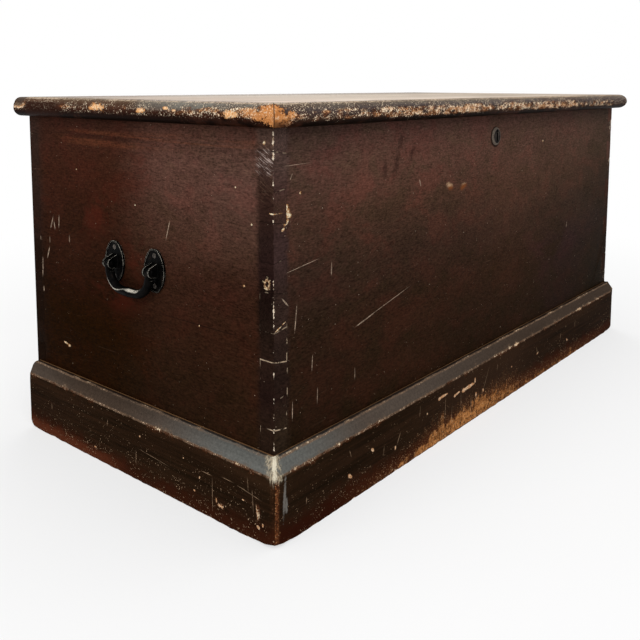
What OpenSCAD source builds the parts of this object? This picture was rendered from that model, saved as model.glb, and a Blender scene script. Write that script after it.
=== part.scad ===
// Blanket chest: a dovetailed pine box on a bevelled plinth, with a hinged lid,
// a bullnose moulding round the lid, a lock and a drop handle on each end.
// The front faces -Y and the floor is at Z = 0.

/* [Carcase] */
// Length of the carcase, from end face to end face
body_l = 1060; // [860:10:1260]
// Depth of the carcase, from front face to back face
body_d = 502; // [400:2:600]
// Height of the whole chest, from the floor to the top of the lid
chest_h = 511; // [440:1:600]
// Thickness of the four carcase boards
board_t = 22; // [20:0.5:28]
// Number of tails at each corner
tails = 5; // [3:1:7]
// Height of a pin at the outer end of a tail board
pin_w = 34; // [20:1:40]
// Height that a tail loses on each side from its end to its root
tail_rise = 3.6; // [2:0.1:5]
// Thickness of the bottom boards
bottom_t = 18; // [12:0.5:22]
// Shrinkage gap between two bottom boards
bottom_gap = 0.6; // [0.2:0.1:2]

/* [Plinth] */
// Height of the plinth
plinth_h = 104; // [90:1:130]
// Thickness of the plinth boards
plinth_t = 15.3; // [12:0.1:20]
// Height of the bevel at the top of the plinth
bevel_h = 19; // [8:0.5:24]
// Width of the flat fillet between the bevel and the carcase
fillet_w = 5.5; // [2:0.5:8]
// Height that the plinth laps up over the carcase
plinth_lap = 51; // [40:1:60]
// Radius of the worn upright corners of the plinth
corner_r = 7; // [2:0.5:10]
// Thickness of the plain rail under the back
rail_t = 18; // [12:1:25]
// Side of the square corner blocks behind the plinth
block_w = 42; // [28:1:60]
// Height of the corner blocks and of the back rail over the floor
block_lift = 2; // [1:0.5:6]

/* [Lid] */
// Thickness of the lid boards
lid_t = 19.7; // [17:0.1:26]
// Overhang of the lid beyond the front and both ends
lid_over = 23; // [20:0.5:30]
// Overhang of the lid beyond the back
lid_back = 5; // [3:0.5:8]
// Height of the moulding round the lid
mould_h = 28; // [24:0.5:34]
// Gap between the moulding and the faces of the carcase
mould_gap = 1; // [0.5:0.1:2]
// Gap between the lid and the top of the carcase
seat_gap = 0.3; // [0.2:0.05:1]
// Angle at which the back edge of the lid meets the back board
lid_open = 100; // [95:1:110]

/* [Hinges] */
// Length of a hinge
hinge_l = 76; // [50:2:100]
// Width of a hinge leaf from its pin
leaf_w = 18; // [15:0.5:19]
// Thickness of a hinge leaf
leaf_t = 2; // [1.5:0.1:2.5]
// Radius of the knuckle of a hinge
knuckle_r = 4; // [3.5:0.1:4.5]
// Radius of a hinge pin
hinge_pin_r = 2; // [1.5:0.1:2.4]
// Distance from the end of the carcase to the middle of a hinge
hinge_in = 200; // [120:5:300]
// Length of a hinge screw
hinge_screw_l = 14; // [10:1:15]

/* [Lock] */
// Width of the lock plate
lock_w = 76; // [72:1:90]
// Height of the lock plate
lock_h = 56; // [52:1:64]
// Thickness of the lock plate and of its top flange
lock_t = 2; // [1.5:0.1:2.5]
// Width of the lock case
case_w = 60; // [58:0.5:62]
// Depth of the lock case in front of its plate
case_d = 11; // [10.5:0.5:13]
// Thickness of the walls of the lock case
case_wall = 1.2; // [0.8:0.1:1.6]
// Depth of the key pin below the top of the carcase
key_drop = 36; // [35:0.5:38]
// Radius of the round top of the keyhole
key_r = 3; // [2.5:0.1:3.5]
// Width of the slot of the keyhole
key_slot = 3.2; // [2.4:0.1:4]
// Length of the keyhole below the key pin
key_l = 14; // [12:0.5:15]
// Distance that the bolt slides
bolt_throw = 9; // [7:0.5:9]
// Radius of the escutcheon
plate_r = 14.5; // [12:0.5:20]
// Thickness of the escutcheon
plate_t = 2.6; // [1.6:0.1:4]
// Distance of each escutcheon pin from the keyhole
plate_pin = 9; // [6:0.5:11]

/* [Handles] */
// Height of the handle pivots over the floor
handle_z = 290; // [220:5:340]
// Distance between the middles of the two roses of a handle
rose_gap = 85; // [70:1:110]
// Width of a rose
rose_w = 41; // [34:1:50]
// Height of a rose
rose_h = 58; // [50:1:70]
// Thickness of the field of a rose
rose_t = 2.4; // [2:0.1:3]
// Height of the raised rim of a rose
rim_h = 1.2; // [0.6:0.1:1.6]
// Width of the raised rim of a rose
rim_w = 2.2; // [1.5:0.1:4]
// Distance of the bail pivot from the end board
pivot_out = 11; // [10.5:0.1:14]
// Radius of the ears that hold the bail
ear_r = 7.3; // [6:0.1:7.5]
// Thickness of an ear
ear_t = 2.6; // [2:0.1:4]
// Width of the eye of the bail
eye_w = 7.8; // [6:0.1:9]
// Radius of the bail at its ends
bail_r = 6; // [5:0.1:6.2]
// Radius of the bail in the middle of its grip
grip_r = 6.8; // [6.3:0.1:7.5]
// Drop from the pivot to the middle of the grip
bail_drop = 34; // [32:1:50]
// Radius of the bends of the bail
bend_r = 29; // [20:1:30]
// Radius of a bail pin
bail_pin_r = 2; // [1.5:0.1:2.5]
// Distance of the screws of a rose above and below the pivot
rose_screw = 20; // [17:0.5:21]

/* [Fasteners] */
// Radius of the shank of a wood screw
screw_r = 1.7; // [1.2:0.1:1.9]
// Radius of the head of a wood screw
screw_head = 3.4; // [2.8:0.1:3.8]
// Length of a lock screw or a rose screw
screw_l = 14; // [10:1:15]
// Radius of a brad in the plinth or the moulding
brad_r = 1.1; // [0.8:0.1:1.4]
// Length of a brad in the plinth
plinth_brad_l = 31; // [24:1:32]
// Length of a brad in the moulding
mould_brad_l = 44; // [32:1:50]
// Radius of a bottom nail
nail_r = 1.5; // [1:0.1:2]
// Length of a bottom nail
nail_l = 36; // [30:1:40]

/* [Fits] */
// Radial clearance of a pin in a turning eye or knuckle
run_fit = 0.06; // [0.03:0.01:0.1]
// Radial clearance of a screw, a nail or a fixed pin
hole_fit = 0.04; // [0.02:0.01:0.1]
// Clearance between metal pieces that pass one another
pass_fit = 0.3; // [0.2:0.05:0.5]

/* [Hidden] */
$fn = 48;

// Colours of the painted pine, the bare wood and the old iron
stain = [0.17, 0.09, 0.07];
stain_dark = [0.10, 0.07, 0.05];
lid_paint = [0.42, 0.36, 0.31];
raw_pine = [0.52, 0.36, 0.22];
iron = [0.11, 0.11, 0.11];
dull_iron = [0.30, 0.29, 0.28];

// The origin lies under the middle of the box that holds the closed chest
y_mid = (lid_over - lid_back) / 2;
half_l = body_l / 2;
half_d = body_d / 2;

// Levels: underside and top of the carcase, underside of the lid
lid_z = chest_h - lid_t;
top_z = lid_z - seat_gap;
low_z = plinth_h - plinth_lap;
wall_h = top_z - low_z;
pitch = (wall_h - pin_w) / tails;
tail_slope = tail_rise / board_t;

// Bottom boards run from front to back
bottom_count = 5;
plank_w = body_l / bottom_count;
floor_z = low_z - bottom_t;

// Nailing
nail_head_r = 2 * nail_r;
nail_head_t = 1.2;
nail_spread = plank_w / 3;
end_nails = [-0.3, 0, 0.3];
brad_head_r = 1.6 * brad_r;
brad_punch = 2;
plinth_brad_z = plinth_h - bevel_h - 8;
front_brads = [-0.41, -0.2, 0, 0.2, 0.41];
end_brads = [-0.38, 0.08, 0.38];
mould_brad_z = lid_z + lid_t / 2;

// The moulding has a full round nose
mould_r = mould_h / 2;

// Hinge axis: it lies so near the back face that the lid stops at lid_open
stop_k = -cos(lid_open);
stop_gap = 0.2;
hinge_y = half_d + (lid_back * stop_k + stop_gap) / (1 + stop_k);
hinge_z = top_z + seat_gap / 2;
hinge_x = half_l - hinge_in;
knuckles = 5;
knuckle_l = hinge_l / knuckles;
hinge_screw_x = 0.36 * hinge_l;
hinge_screw_y = hinge_y - 0.6 * leaf_w;
head_sink = 1.5;

// Lock, measured from the top of the carcase and the inner face of the front board
inner_y = -half_d + board_t;
plate_y = inner_y - lock_t;
case_y = plate_y - case_d;
flange_z = top_z - lock_t;
lock_low = top_z - lock_h;
case_low = lock_low + 2;
pin_z = top_z - key_drop;
bolt_mid = plate_y - case_d / 2;
bolt_y = 3.5;
// Bar of the bolt just over the sweep of the key, then the loops, then the prongs
bar_low = pin_z + 8;
bar_high = bar_low + 7;
loop_t = 3;
loop_w = case_d - 2 * (case_wall + pass_fit);
loop_low = bar_high + 3;
loop_eye_low = loop_low + 2.5;
loop_eye_high = loop_eye_low + 6;
loop_x = [-10.5, 17.5];
prong_l = bolt_throw - 1;
prong_low = loop_eye_low + 1;
prong_high = loop_eye_high - 1;
post_w = 3;
// Notch in the bar that the key drives
notch_w = 8;
notch_h = 4;
spring_w = 6;
spring_t = 0.8;
// Post that the hollow key turns on, and the ring ward round it
key_pin_r = 1.3;
key_pin_head = 2.2;
ward_r = 6;
ward_h = 3;
ward_gap = 5;
link_w = 68;
lock_screw_x = (lock_w + case_w) / 4;
link_screw_x = link_w / 2 - 6;

// Escutcheon pins: small round pins with a domed head
plate_z = pin_z - key_l / 2;
plate_pin_r = 0.8;
plate_pin_l = 7;
plate_head_r = 1.5;
plate_head_t = 0.6;

// Handles
ear_gap = 0.2;
ear_y = eye_w / 2 + ear_gap + ear_t / 2;
rose_a = rose_w / 2;
rose_b = rose_h / 2 + 3;
rose_arc = (rose_a * rose_a + rose_b * rose_b) / (2 * rose_a);
ear_root = rose_t - 0.4;
ear_root_high = 11;
ear_root_low = -8;
grip_l = rose_gap - 2 * bend_r;
bend_z = bail_drop - bend_r;
// The flats on the eyes of the bail are wider than the ears that they pass
flat_r = 1.5 * ear_r;
pivot_head = 1.2;

// Moves a piece from the frame of the carcase to the frame of the chest
module place() {
    translate([0, y_mid, 0]) children();
}

// Extrudes an outline drawn in Y and Z along X
module along_x(len) {
    rotate([90, 0, 90]) linear_extrude(len, center = true) children();
}

// Extrudes an outline drawn in X and Z along Y
module along_y(len) {
    rotate([90, 0, 0]) linear_extrude(len, center = true) children();
}

// Round bar along X or along Y, centred on the origin
module bar_x(r, len) {
    rotate([0, 90, 0]) cylinder(r = r, h = len, center = true);
}
module bar_y(r, len) {
    rotate([90, 0, 0]) cylinder(r = r, h = len, center = true);
}

// Rectangle with four round corners
module round_rect(x0, y0, x1, y1, r) {
    translate([x0 + r, y0]) square([x1 - x0 - 2 * r, y1 - y0]);
    translate([x0, y0 + r]) square([x1 - x0, y1 - y0 - 2 * r]);
    for (x = [x0 + r, x1 - r], y = [y0 + r, y1 - r]) translate([x, y]) circle(r);
}

// Countersunk wood screw: the head is at the origin and the shank runs down
module screw(len, slot_turn = 0) {
    difference() {
        union() {
            translate([0, 0, -head_sink]) cylinder(r1 = screw_r, r2 = screw_head, h = head_sink);
            translate([0, 0, -len]) cylinder(r = screw_r, h = len - head_sink);
        }
        rotate([0, 0, slot_turn])
            translate([-screw_head, -0.4, -0.7]) cube([2 * screw_head, 0.8, 1]);
    }
}

// Hole that a wood screw sits in, open at the top
module screw_hole(len) {
    translate([0, 0, -len - hole_fit]) cylinder(r = screw_r + hole_fit, h = len + 1);
    translate([0, 0, -head_sink])
        cylinder(r1 = screw_r + hole_fit, r2 = screw_head + hole_fit, h = head_sink);
    cylinder(r = screw_head + hole_fit, h = 1);
}

// Brad: its head is punched in below the origin and it runs down
module brad(len) {
    translate([0, 0, -brad_punch - len]) cylinder(r = brad_r, h = len);
    translate([0, 0, -brad_punch - 1]) cylinder(r = brad_head_r, h = 1);
}
module brad_hole(len) {
    translate([0, 0, -brad_punch - len - hole_fit])
        cylinder(r = brad_r + hole_fit, h = len + brad_punch + 1);
    translate([0, 0, -brad_punch - 1 - hole_fit])
        cylinder(r = brad_head_r + hole_fit, h = brad_punch + 2);
}

// Bottom nail: its head is at the origin and it runs up
module nail() {
    cylinder(r = nail_head_r, h = nail_head_t);
    cylinder(r = nail_r, h = nail_l);
}
module nail_hole() {
    translate([0, 0, -1]) cylinder(r = nail_head_r + hole_fit, h = nail_head_t + hole_fit + 1);
    cylinder(r = nail_r + hole_fit, h = nail_l + hole_fit);
}

// Outline of the tails on one end, as distance from the end and height
function tail_low(i) = low_z + pin_w + i * pitch;
function tail_high(i) = low_z + (i + 1) * pitch;
function tail_points() = [
    for (i = [0 : tails - 1]) each [
        [board_t, tail_low(i) + tail_rise],
        [0, tail_low(i)],
        [0, tail_high(i)],
        [board_t, tail_high(i) - tail_rise]
    ]
];
function reversed(list) = [for (i = [len(list) - 1 : -1 : 0]) list[i]];

// Board with tails on both ends, its outer face at Y = 0
module tail_board() {
    left = [for (p = tail_points()) [p[0] - half_l, p[1]]];
    right = [for (p = reversed(tail_points())) [half_l - p[0], p[1]]];
    root_x = half_l - board_t;
    translate([0, board_t / 2, 0]) along_y(board_t)
        polygon(concat([[-root_x, low_z]], left, [[-root_x, top_z], [root_x, top_z]],
                       right, [[root_x, low_z]]));
}

// Board with pins on both ends, its outer face at X = 0 and its inner face at X = board_t
module pin_board() {
    over = 1;
    difference() {
        translate([0, -half_d, low_z]) cube([board_t, body_d, wall_h]);
        for (i = [0 : tails - 1], s = [-1, 1])
            translate([0, s * (half_d - board_t / 2 + over / 2), 0]) along_y(board_t + over)
                polygon([
                    [-over, tail_low(i) - over * tail_slope],
                    [-over, tail_high(i) + over * tail_slope],
                    [board_t + over, tail_high(i) - tail_rise - over * tail_slope],
                    [board_t + over, tail_low(i) + tail_rise + over * tail_slope]
                ]);
    }
}

// Places of the fasteners
module at_bottom_nails() {
    for (i = [0 : bottom_count - 1], k = [-0.5, 0.5], s = [-1, 1])
        translate([-half_l + (i + 0.5) * plank_w + k * nail_spread,
                   s * (half_d - board_t / 2), floor_z]) children();
    for (s = [-1, 1], k = end_nails)
        translate([s * (half_l - board_t / 2), k * body_d, floor_z]) children();
}
module at_plinth_brads() {
    for (k = front_brads)
        translate([k * body_l, -half_d - plinth_t, plinth_brad_z]) rotate([90, 0, 0]) children();
    for (s = [-1, 1], k = end_brads)
        translate([s * (half_l + plinth_t), k * body_d, plinth_brad_z])
            rotate([0, s * 90, 0]) children();
}
module at_moulding_brads() {
    for (k = front_brads)
        translate([k * body_l, -half_d - lid_over, mould_brad_z]) rotate([90, 0, 0]) children();
    for (s = [-1, 1], k = end_brads)
        translate([s * (half_l + lid_over), k * body_d, mould_brad_z])
            rotate([0, s * 90, 0]) children();
}
module at_hinges() {
    for (s = [-1, 1]) translate([s * hinge_x, 0, 0]) children();
}
module at_hinge_screws() {
    for (k = [-1, 0, 1]) translate([k * hinge_screw_x, hinge_screw_y, 0]) children();
}
module at_lock_screws() {
    for (s = [-1, 1], z = [lock_low + 8, flange_z - 10])
        translate([s * lock_screw_x, inner_y, z]) rotate([-90, 0, 0]) children();
}
module at_link_screws() {
    for (s = [-1, 1])
        translate([s * link_screw_x, bolt_mid, lid_z]) rotate([180, 0, 0]) children();
}
// Rose screws of the handle on the +X end
module at_rose_screws() {
    for (s = [-1, 1], k = [-1, 1])
        translate([half_l + rose_t, s * rose_gap / 2, handle_z + k * rose_screw])
            rotate([0, 90, 0]) children();
}

// Keyhole through whatever lies between the front face and the key pin
module keyhole(grow, y0, y1) {
    translate([0, (y0 + y1) / 2, pin_z]) {
        bar_y(key_r + grow, y1 - y0);
        along_y(y1 - y0)
            translate([-key_slot / 2 - grow, -key_l - grow])
                square([key_slot + 2 * grow, key_l + grow]);
    }
}

// Carcase boards
module front_board() {
    color(stain) place() difference() {
        translate([0, -half_d, 0]) tail_board();
        // mortise for the lock: plate, flange and case
        translate([-lock_w / 2, plate_y, lock_low]) cube([lock_w, lock_t + 1, lock_h + 1]);
        translate([-lock_w / 2, case_y, flange_z]) cube([lock_w, case_d + lock_t + 1, lock_t + 1]);
        translate([-case_w / 2, case_y, case_low]) cube([case_w, case_d + 1, flange_z - case_low + 1]);
        keyhole(0.4, -half_d - 1, case_y + 1);
        at_lock_screws() screw_hole(screw_l);
        for (s = [-1, 1])
            translate([s * plate_pin, -half_d, plate_z]) bar_y(plate_pin_r + hole_fit, 2 * plate_pin_l);
        at_bottom_nails() nail_hole();
        at_plinth_brads() brad_hole(plinth_brad_l);
    }
}
module back_board() {
    color(stain) place() difference() {
        translate([0, half_d - board_t, 0]) tail_board();
        at_hinges() {
            translate([-hinge_l / 2, hinge_y - leaf_w, top_z - leaf_t])
                cube([hinge_l, leaf_w, leaf_t + 1]);
            translate([0, hinge_y, hinge_z]) bar_x(knuckle_r + pass_fit, hinge_l + 2 * pass_fit);
            translate([0, 0, top_z]) at_hinge_screws() screw_hole(hinge_screw_l);
        }
        at_bottom_nails() nail_hole();
    }
}
module end_board(s) {
    color(stain) place() difference() {
        if (s < 0) translate([-half_l, 0, 0]) pin_board();
        else translate([half_l, 0, 0]) mirror([1, 0, 0]) pin_board();
        if (s < 0) mirror([1, 0, 0]) at_rose_screws() screw_hole(screw_l);
        else at_rose_screws() screw_hole(screw_l);
        at_bottom_nails() nail_hole();
        at_plinth_brads() brad_hole(plinth_brad_l);
    }
}

// Bottom boards, counted from the left end
module bottom_board(i) {
    color(raw_pine) place() difference() {
        x0 = -half_l + i * plank_w + (i == 0 ? 0 : bottom_gap / 2);
        x1 = -half_l + (i + 1) * plank_w - (i == bottom_count - 1 ? 0 : bottom_gap / 2);
        translate([x0, -half_d, floor_z]) cube([x1 - x0, body_d, bottom_t]);
        at_bottom_nails() nail_hole();
    }
}
module bottom_nails() {
    color(iron) place() at_bottom_nails() nail();
}

// Plinth: a board with a bevel and a small fillet on its top, mitred at the front corners
module plinth_outline(sign) {
    polygon([
        [0, 0], [sign * plinth_t, 0], [sign * plinth_t, plinth_h - bevel_h],
        [sign * fillet_w, plinth_h], [0, plinth_h]
    ]);
}
module plinth_plan() {
    round_rect(-half_l - plinth_t, -half_d - plinth_t, half_l + plinth_t,
               half_d + 3 * corner_r, corner_r);
}
module plinth_front() {
    out_l = half_l + plinth_t;
    out_d = half_d + plinth_t;
    color(stain_dark) place() difference() {
        intersection() {
            translate([0, -half_d, 0]) along_x(2 * out_l) plinth_outline(-1);
            linear_extrude(plinth_h) plinth_plan();
            linear_extrude(plinth_h)
                polygon([[-out_l, -out_d], [out_l, -out_d], [half_l, -half_d], [-half_l, -half_d]]);
        }
        at_plinth_brads() brad_hole(plinth_brad_l);
    }
}
module plinth_end(s) {
    out_l = half_l + plinth_t;
    out_d = half_d + plinth_t;
    color(stain_dark) place() difference() {
        intersection() {
            translate([s * half_l, 0, 0]) along_y(2 * out_d) plinth_outline(s);
            linear_extrude(plinth_h) plinth_plan();
            linear_extrude(plinth_h)
                polygon([[s * out_l, -out_d], [s * out_l, half_d], [s * half_l, half_d],
                         [s * half_l, -half_d]]);
        }
        at_plinth_brads() brad_hole(plinth_brad_l);
    }
}
module plinth_back_rail() {
    color(raw_pine) place()
        translate([-half_l, half_d - rail_t, block_lift])
            cube([body_l, rail_t, floor_z - block_lift]);
}
module plinth_corner_blocks() {
    color(raw_pine) place() for (s = [-1, 1], b = [0, 1]) {
        y0 = b == 0 ? -half_d : half_d - rail_t - block_w;
        translate([s < 0 ? -half_l : half_l - block_w, y0, block_lift])
            cube([block_w, block_w, floor_z - block_lift]);
    }
}
module plinth_brads() {
    color(iron) place() at_plinth_brads() brad(plinth_brad_l);
}

// Lid: two boards glued edge to edge, with a bullnose moulding mitred round three sides
module lid_board(back) {
    x1 = half_l + mould_gap;
    y0 = back ? (lid_back - mould_gap) / 2 : -half_d - mould_gap;
    y1 = back ? half_d + lid_back : (lid_back - mould_gap) / 2;
    color(lid_paint) place() difference() {
        translate([-x1, y0, lid_z]) cube([2 * x1, y1 - y0, lid_t]);
        at_moulding_brads() brad_hole(mould_brad_l);
        if (back) at_hinges() {
            translate([-hinge_l / 2, hinge_y - leaf_w, lid_z - 1])
                cube([hinge_l, leaf_w, leaf_t + 1]);
            translate([0, hinge_y, hinge_z]) bar_x(knuckle_r + pass_fit, hinge_l + 2 * pass_fit);
            translate([0, 0, lid_z]) at_hinge_screws() rotate([180, 0, 0]) screw_hole(hinge_screw_l);
        }
        else {
            translate([-link_w / 2, case_y, lid_z - 1]) cube([link_w, inner_y - case_y, lock_t + 1]);
            at_link_screws() screw_hole(screw_l);
        }
    }
}
module moulding_outline(sign) {
    intersection() {
        union() {
            translate([sign * (lid_over - mould_r), chest_h - mould_r]) circle(mould_r, $fn = 96);
            translate([sign > 0 ? mould_gap : mould_r - lid_over, chest_h - mould_h])
                square([lid_over - mould_r - mould_gap, mould_h]);
        }
        translate([sign > 0 ? mould_gap : -lid_over, chest_h - mould_h])
            square([lid_over - mould_gap, mould_h]);
    }
}
module lid_moulding_front() {
    in_l = half_l + mould_gap;
    in_d = half_d + mould_gap;
    out_l = half_l + lid_over;
    out_d = half_d + lid_over;
    color(stain_dark) place() difference() {
        intersection() {
            translate([0, -half_d, 0]) along_x(2 * out_l) moulding_outline(-1);
            linear_extrude(chest_h)
                polygon([[-out_l, -out_d], [out_l, -out_d], [in_l, -in_d], [-in_l, -in_d]]);
        }
        at_moulding_brads() brad_hole(mould_brad_l);
    }
}
module lid_moulding_end(s) {
    in_l = half_l + mould_gap;
    in_d = half_d + mould_gap;
    out_l = half_l + lid_over;
    out_d = half_d + lid_over;
    back_d = half_d + lid_back;
    color(stain_dark) place() difference() {
        intersection() {
            translate([s * half_l, 0, 0]) along_y(2 * out_d) moulding_outline(s);
            linear_extrude(chest_h)
                polygon([[s * out_l, -out_d], [s * out_l, back_d], [s * in_l, back_d],
                         [s * in_l, -in_d]]);
        }
        at_moulding_brads() brad_hole(mould_brad_l);
    }
}
module lid_moulding_brads() {
    color(iron) place() at_moulding_brads() brad(mould_brad_l);
}

// Hinges: odd knuckles belong to the lower leaf, even ones to the upper leaf
module knuckle_row(first, r, trim) {
    for (i = [first : 2 : knuckles - 1])
        translate([(i + 0.5) * knuckle_l - hinge_l / 2, hinge_y, hinge_z])
            bar_x(r, knuckle_l - 2 * trim);
}
module hinge_leaf(upper) {
    difference() {
        union() {
            translate([-hinge_l / 2, hinge_y - leaf_w, upper ? lid_z : top_z - leaf_t])
                cube([hinge_l, leaf_w, leaf_t]);
            knuckle_row(upper ? 1 : 0, knuckle_r, pass_fit / 2);
        }
        knuckle_row(upper ? 0 : 1, knuckle_r + pass_fit, -pass_fit / 2);
        translate([0, hinge_y, hinge_z]) bar_x(hinge_pin_r + run_fit, hinge_l + 2);
        if (upper)
            translate([0, 0, lid_z]) at_hinge_screws() rotate([180, 0, 0]) screw_hole(hinge_screw_l);
        else translate([0, 0, top_z]) at_hinge_screws() screw_hole(hinge_screw_l);
    }
}
module hinge_lower_leaf(s) {
    color(dull_iron) place() translate([s * hinge_x, 0, 0]) hinge_leaf(false);
}
module hinge_upper_leaf(s) {
    color(dull_iron) place() translate([s * hinge_x, 0, 0]) hinge_leaf(true);
}
module hinge_pin(s) {
    color(iron) place() translate([s * hinge_x, hinge_y, hinge_z]) bar_x(hinge_pin_r, hinge_l);
}
module hinge_lower_screws() {
    color(iron) place() at_hinges() translate([0, 0, top_z]) at_hinge_screws() screw(hinge_screw_l, 30);
}
module hinge_upper_screws() {
    color(iron) place() at_hinges()
        translate([0, 0, lid_z]) at_hinge_screws() rotate([180, 0, 0]) screw(hinge_screw_l, 70);
}

// Escutcheon: a round plate with a chamfered edge and a keyhole
module escutcheon() {
    edge = 0.4 * plate_t;
    color(dull_iron) place() difference() {
        translate([0, -half_d, plate_z]) rotate([90, 0, 0]) {
            cylinder(r = plate_r, h = edge);
            translate([0, 0, edge]) cylinder(r1 = plate_r - 0.6, r2 = plate_r - 2.4, h = plate_t - edge);
        }
        keyhole(0, -half_d - plate_t - 1, -half_d + 1);
        for (s = [-1, 1])
            translate([s * plate_pin, -half_d, plate_z]) bar_y(plate_pin_r + hole_fit, 2 * plate_pin_l);
    }
}
module escutcheon_pins() {
    color(iron) place() for (s = [-1, 1])
        translate([s * plate_pin, -half_d, plate_z]) rotate([90, 0, 0]) {
            translate([0, 0, -plate_pin_l]) cylinder(r = plate_pin_r, h = plate_pin_l + plate_t);
            translate([0, 0, plate_t])
                cylinder(r1 = plate_head_r, r2 = 0.6 * plate_head_r, h = plate_head_t);
        }
}

// Lock: a plate with a top flange, a case in front of it and the works between them
module lock_plate() {
    color(dull_iron) place() difference() {
        union() {
            translate([-lock_w / 2, plate_y, lock_low]) cube([lock_w, lock_t, lock_h]);
            translate([-lock_w / 2, case_y, flange_z]) cube([lock_w, case_d + lock_t, lock_t]);
        }
        for (x = loop_x)
            translate([x - loop_t / 2 - pass_fit, bolt_mid - loop_w / 2 - pass_fit, flange_z - 1])
                cube([loop_t + 2 * pass_fit, loop_w + 2 * pass_fit, lock_t + 2]);
        at_lock_screws() screw_hole(screw_l);
    }
}
module lock_case() {
    color(dull_iron) place() difference() {
        translate([-case_w / 2, case_y, case_low]) cube([case_w, case_d, flange_z - case_low]);
        translate([-case_w / 2 + case_wall, case_y + case_wall, case_low + case_wall])
            cube([case_w - 2 * case_wall, case_d, flange_z - case_low]);
        keyhole(0.2, case_y - 1, case_y + case_wall + 1);
    }
}
module lock_bolt() {
    x_back = loop_x[0] - loop_t / 2 - prong_l - post_w - 1.5;
    x_front = loop_x[1] + loop_t / 2;
    color(dull_iron) place() translate([0, bolt_mid - bolt_y / 2, 0]) {
        // bar with the notch that the key drives
        difference() {
            translate([x_back, 0, bar_low]) cube([x_front - x_back, bolt_y, bar_high - bar_low]);
            translate([-(notch_w + bolt_throw) / 2, -1, bar_low - 1])
                cube([notch_w, bolt_y + 2, notch_h + 1]);
        }
        for (x = loop_x) {
            x_post = x - loop_t / 2 - 1.5 - prong_l - post_w;
            translate([x_post, 0, bar_low + 1]) cube([post_w, bolt_y, prong_high - bar_low - 1]);
            translate([x_post, 0, prong_low]) cube([post_w + prong_l, bolt_y, prong_high - prong_low]);
        }
    }
}
module lock_spring() {
    spring_r = (bar_low - pass_fit - case_low - case_wall) / 2;
    color(iron) place()
        translate([-case_w / 2 + case_wall + spring_r + pass_fit, plate_y - spring_w / 2,
                   bar_low - pass_fit - spring_r])
            along_y(spring_w) difference() {
                circle(spring_r);
                circle(spring_r - spring_t);
                translate([2, -spring_r]) square([spring_r, 2 * spring_r]);
            }
}
module lock_key_pin() {
    color(iron) place() translate([0, plate_y, pin_z]) rotate([90, 0, 0]) {
        cylinder(r = key_pin_r, h = case_d + 2);
        cylinder(r = key_pin_head, h = 1);
    }
}
module lock_ward() {
    color(iron) place() translate([0, plate_y - ward_h / 2, pin_z]) along_y(ward_h) difference() {
        circle(ward_r);
        circle(ward_r - spring_t);
        translate([-ward_gap / 2, -2 * ward_r]) square([ward_gap, 2 * ward_r]);
    }
}
module lock_screws() {
    color(iron) place() at_lock_screws() screw(screw_l, 20);
}
module lock_link_plate() {
    color(dull_iron) place() difference() {
        union() {
            translate([-link_w / 2, case_y, lid_z]) cube([link_w, inner_y - case_y, lock_t]);
            for (x = loop_x)
                translate([x - loop_t / 2, bolt_mid - loop_w / 2, loop_low])
                    cube([loop_t, loop_w, lid_z - loop_low + 1]);
        }
        for (x = loop_x)
            translate([x - loop_t, bolt_mid - bolt_y / 2 - 1, loop_eye_low])
                cube([2 * loop_t, bolt_y + 2, loop_eye_high - loop_eye_low]);
        at_link_screws() screw_hole(screw_l);
    }
}
module link_plate_screws() {
    color(iron) place() at_link_screws() screw(screw_l, 45);
}

// Handles, drawn on the +X end and mirrored for the other end
module on_end(s) {
    if (s < 0) mirror([1, 0, 0]) children();
    else children();
}
module rose_shape(inset) {
    intersection() {
        translate([rose_arc - rose_a, 0]) circle(rose_arc - inset, $fn = 96);
        translate([rose_a - rose_arc, 0]) circle(rose_arc - inset, $fn = 96);
        circle(rose_h / 2 - inset, $fn = 96);
    }
}
// Point where a line from p touches the round end of an ear, on the side given by turn
function ear_tangent(p, turn) =
    let (dx = p[0] - pivot_out, dz = p[1], d = sqrt(dx * dx + dz * dz),
         a = atan2(dz, dx) + turn * acos(ear_r / d))
    [pivot_out + ear_r * cos(a), ear_r * sin(a)];
module ear_shape() {
    high = [ear_root, ear_root_high];
    low = [ear_root, ear_root_low];
    translate([pivot_out, 0]) circle(ear_r);
    polygon([high, ear_tangent(high, -1), [pivot_out, 0], ear_tangent(low, 1), low]);
}
module rose(s, side) {
    color(iron) place() on_end(s) difference() {
        translate([half_l, side * rose_gap / 2, handle_z]) union() {
            rotate([90, 0, 90]) {
                linear_extrude(rose_t) rose_shape(0);
                linear_extrude(rose_t + rim_h) difference() {
                    rose_shape(0);
                    rose_shape(rim_w);
                }
            }
            for (k = [-1, 1]) translate([0, k * ear_y, 0]) along_y(ear_t) ear_shape();
        }
        translate([half_l + pivot_out, side * rose_gap / 2, handle_z])
            bar_y(bail_pin_r + hole_fit, rose_w);
        at_rose_screws() screw_hole(screw_l);
    }
}
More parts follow.
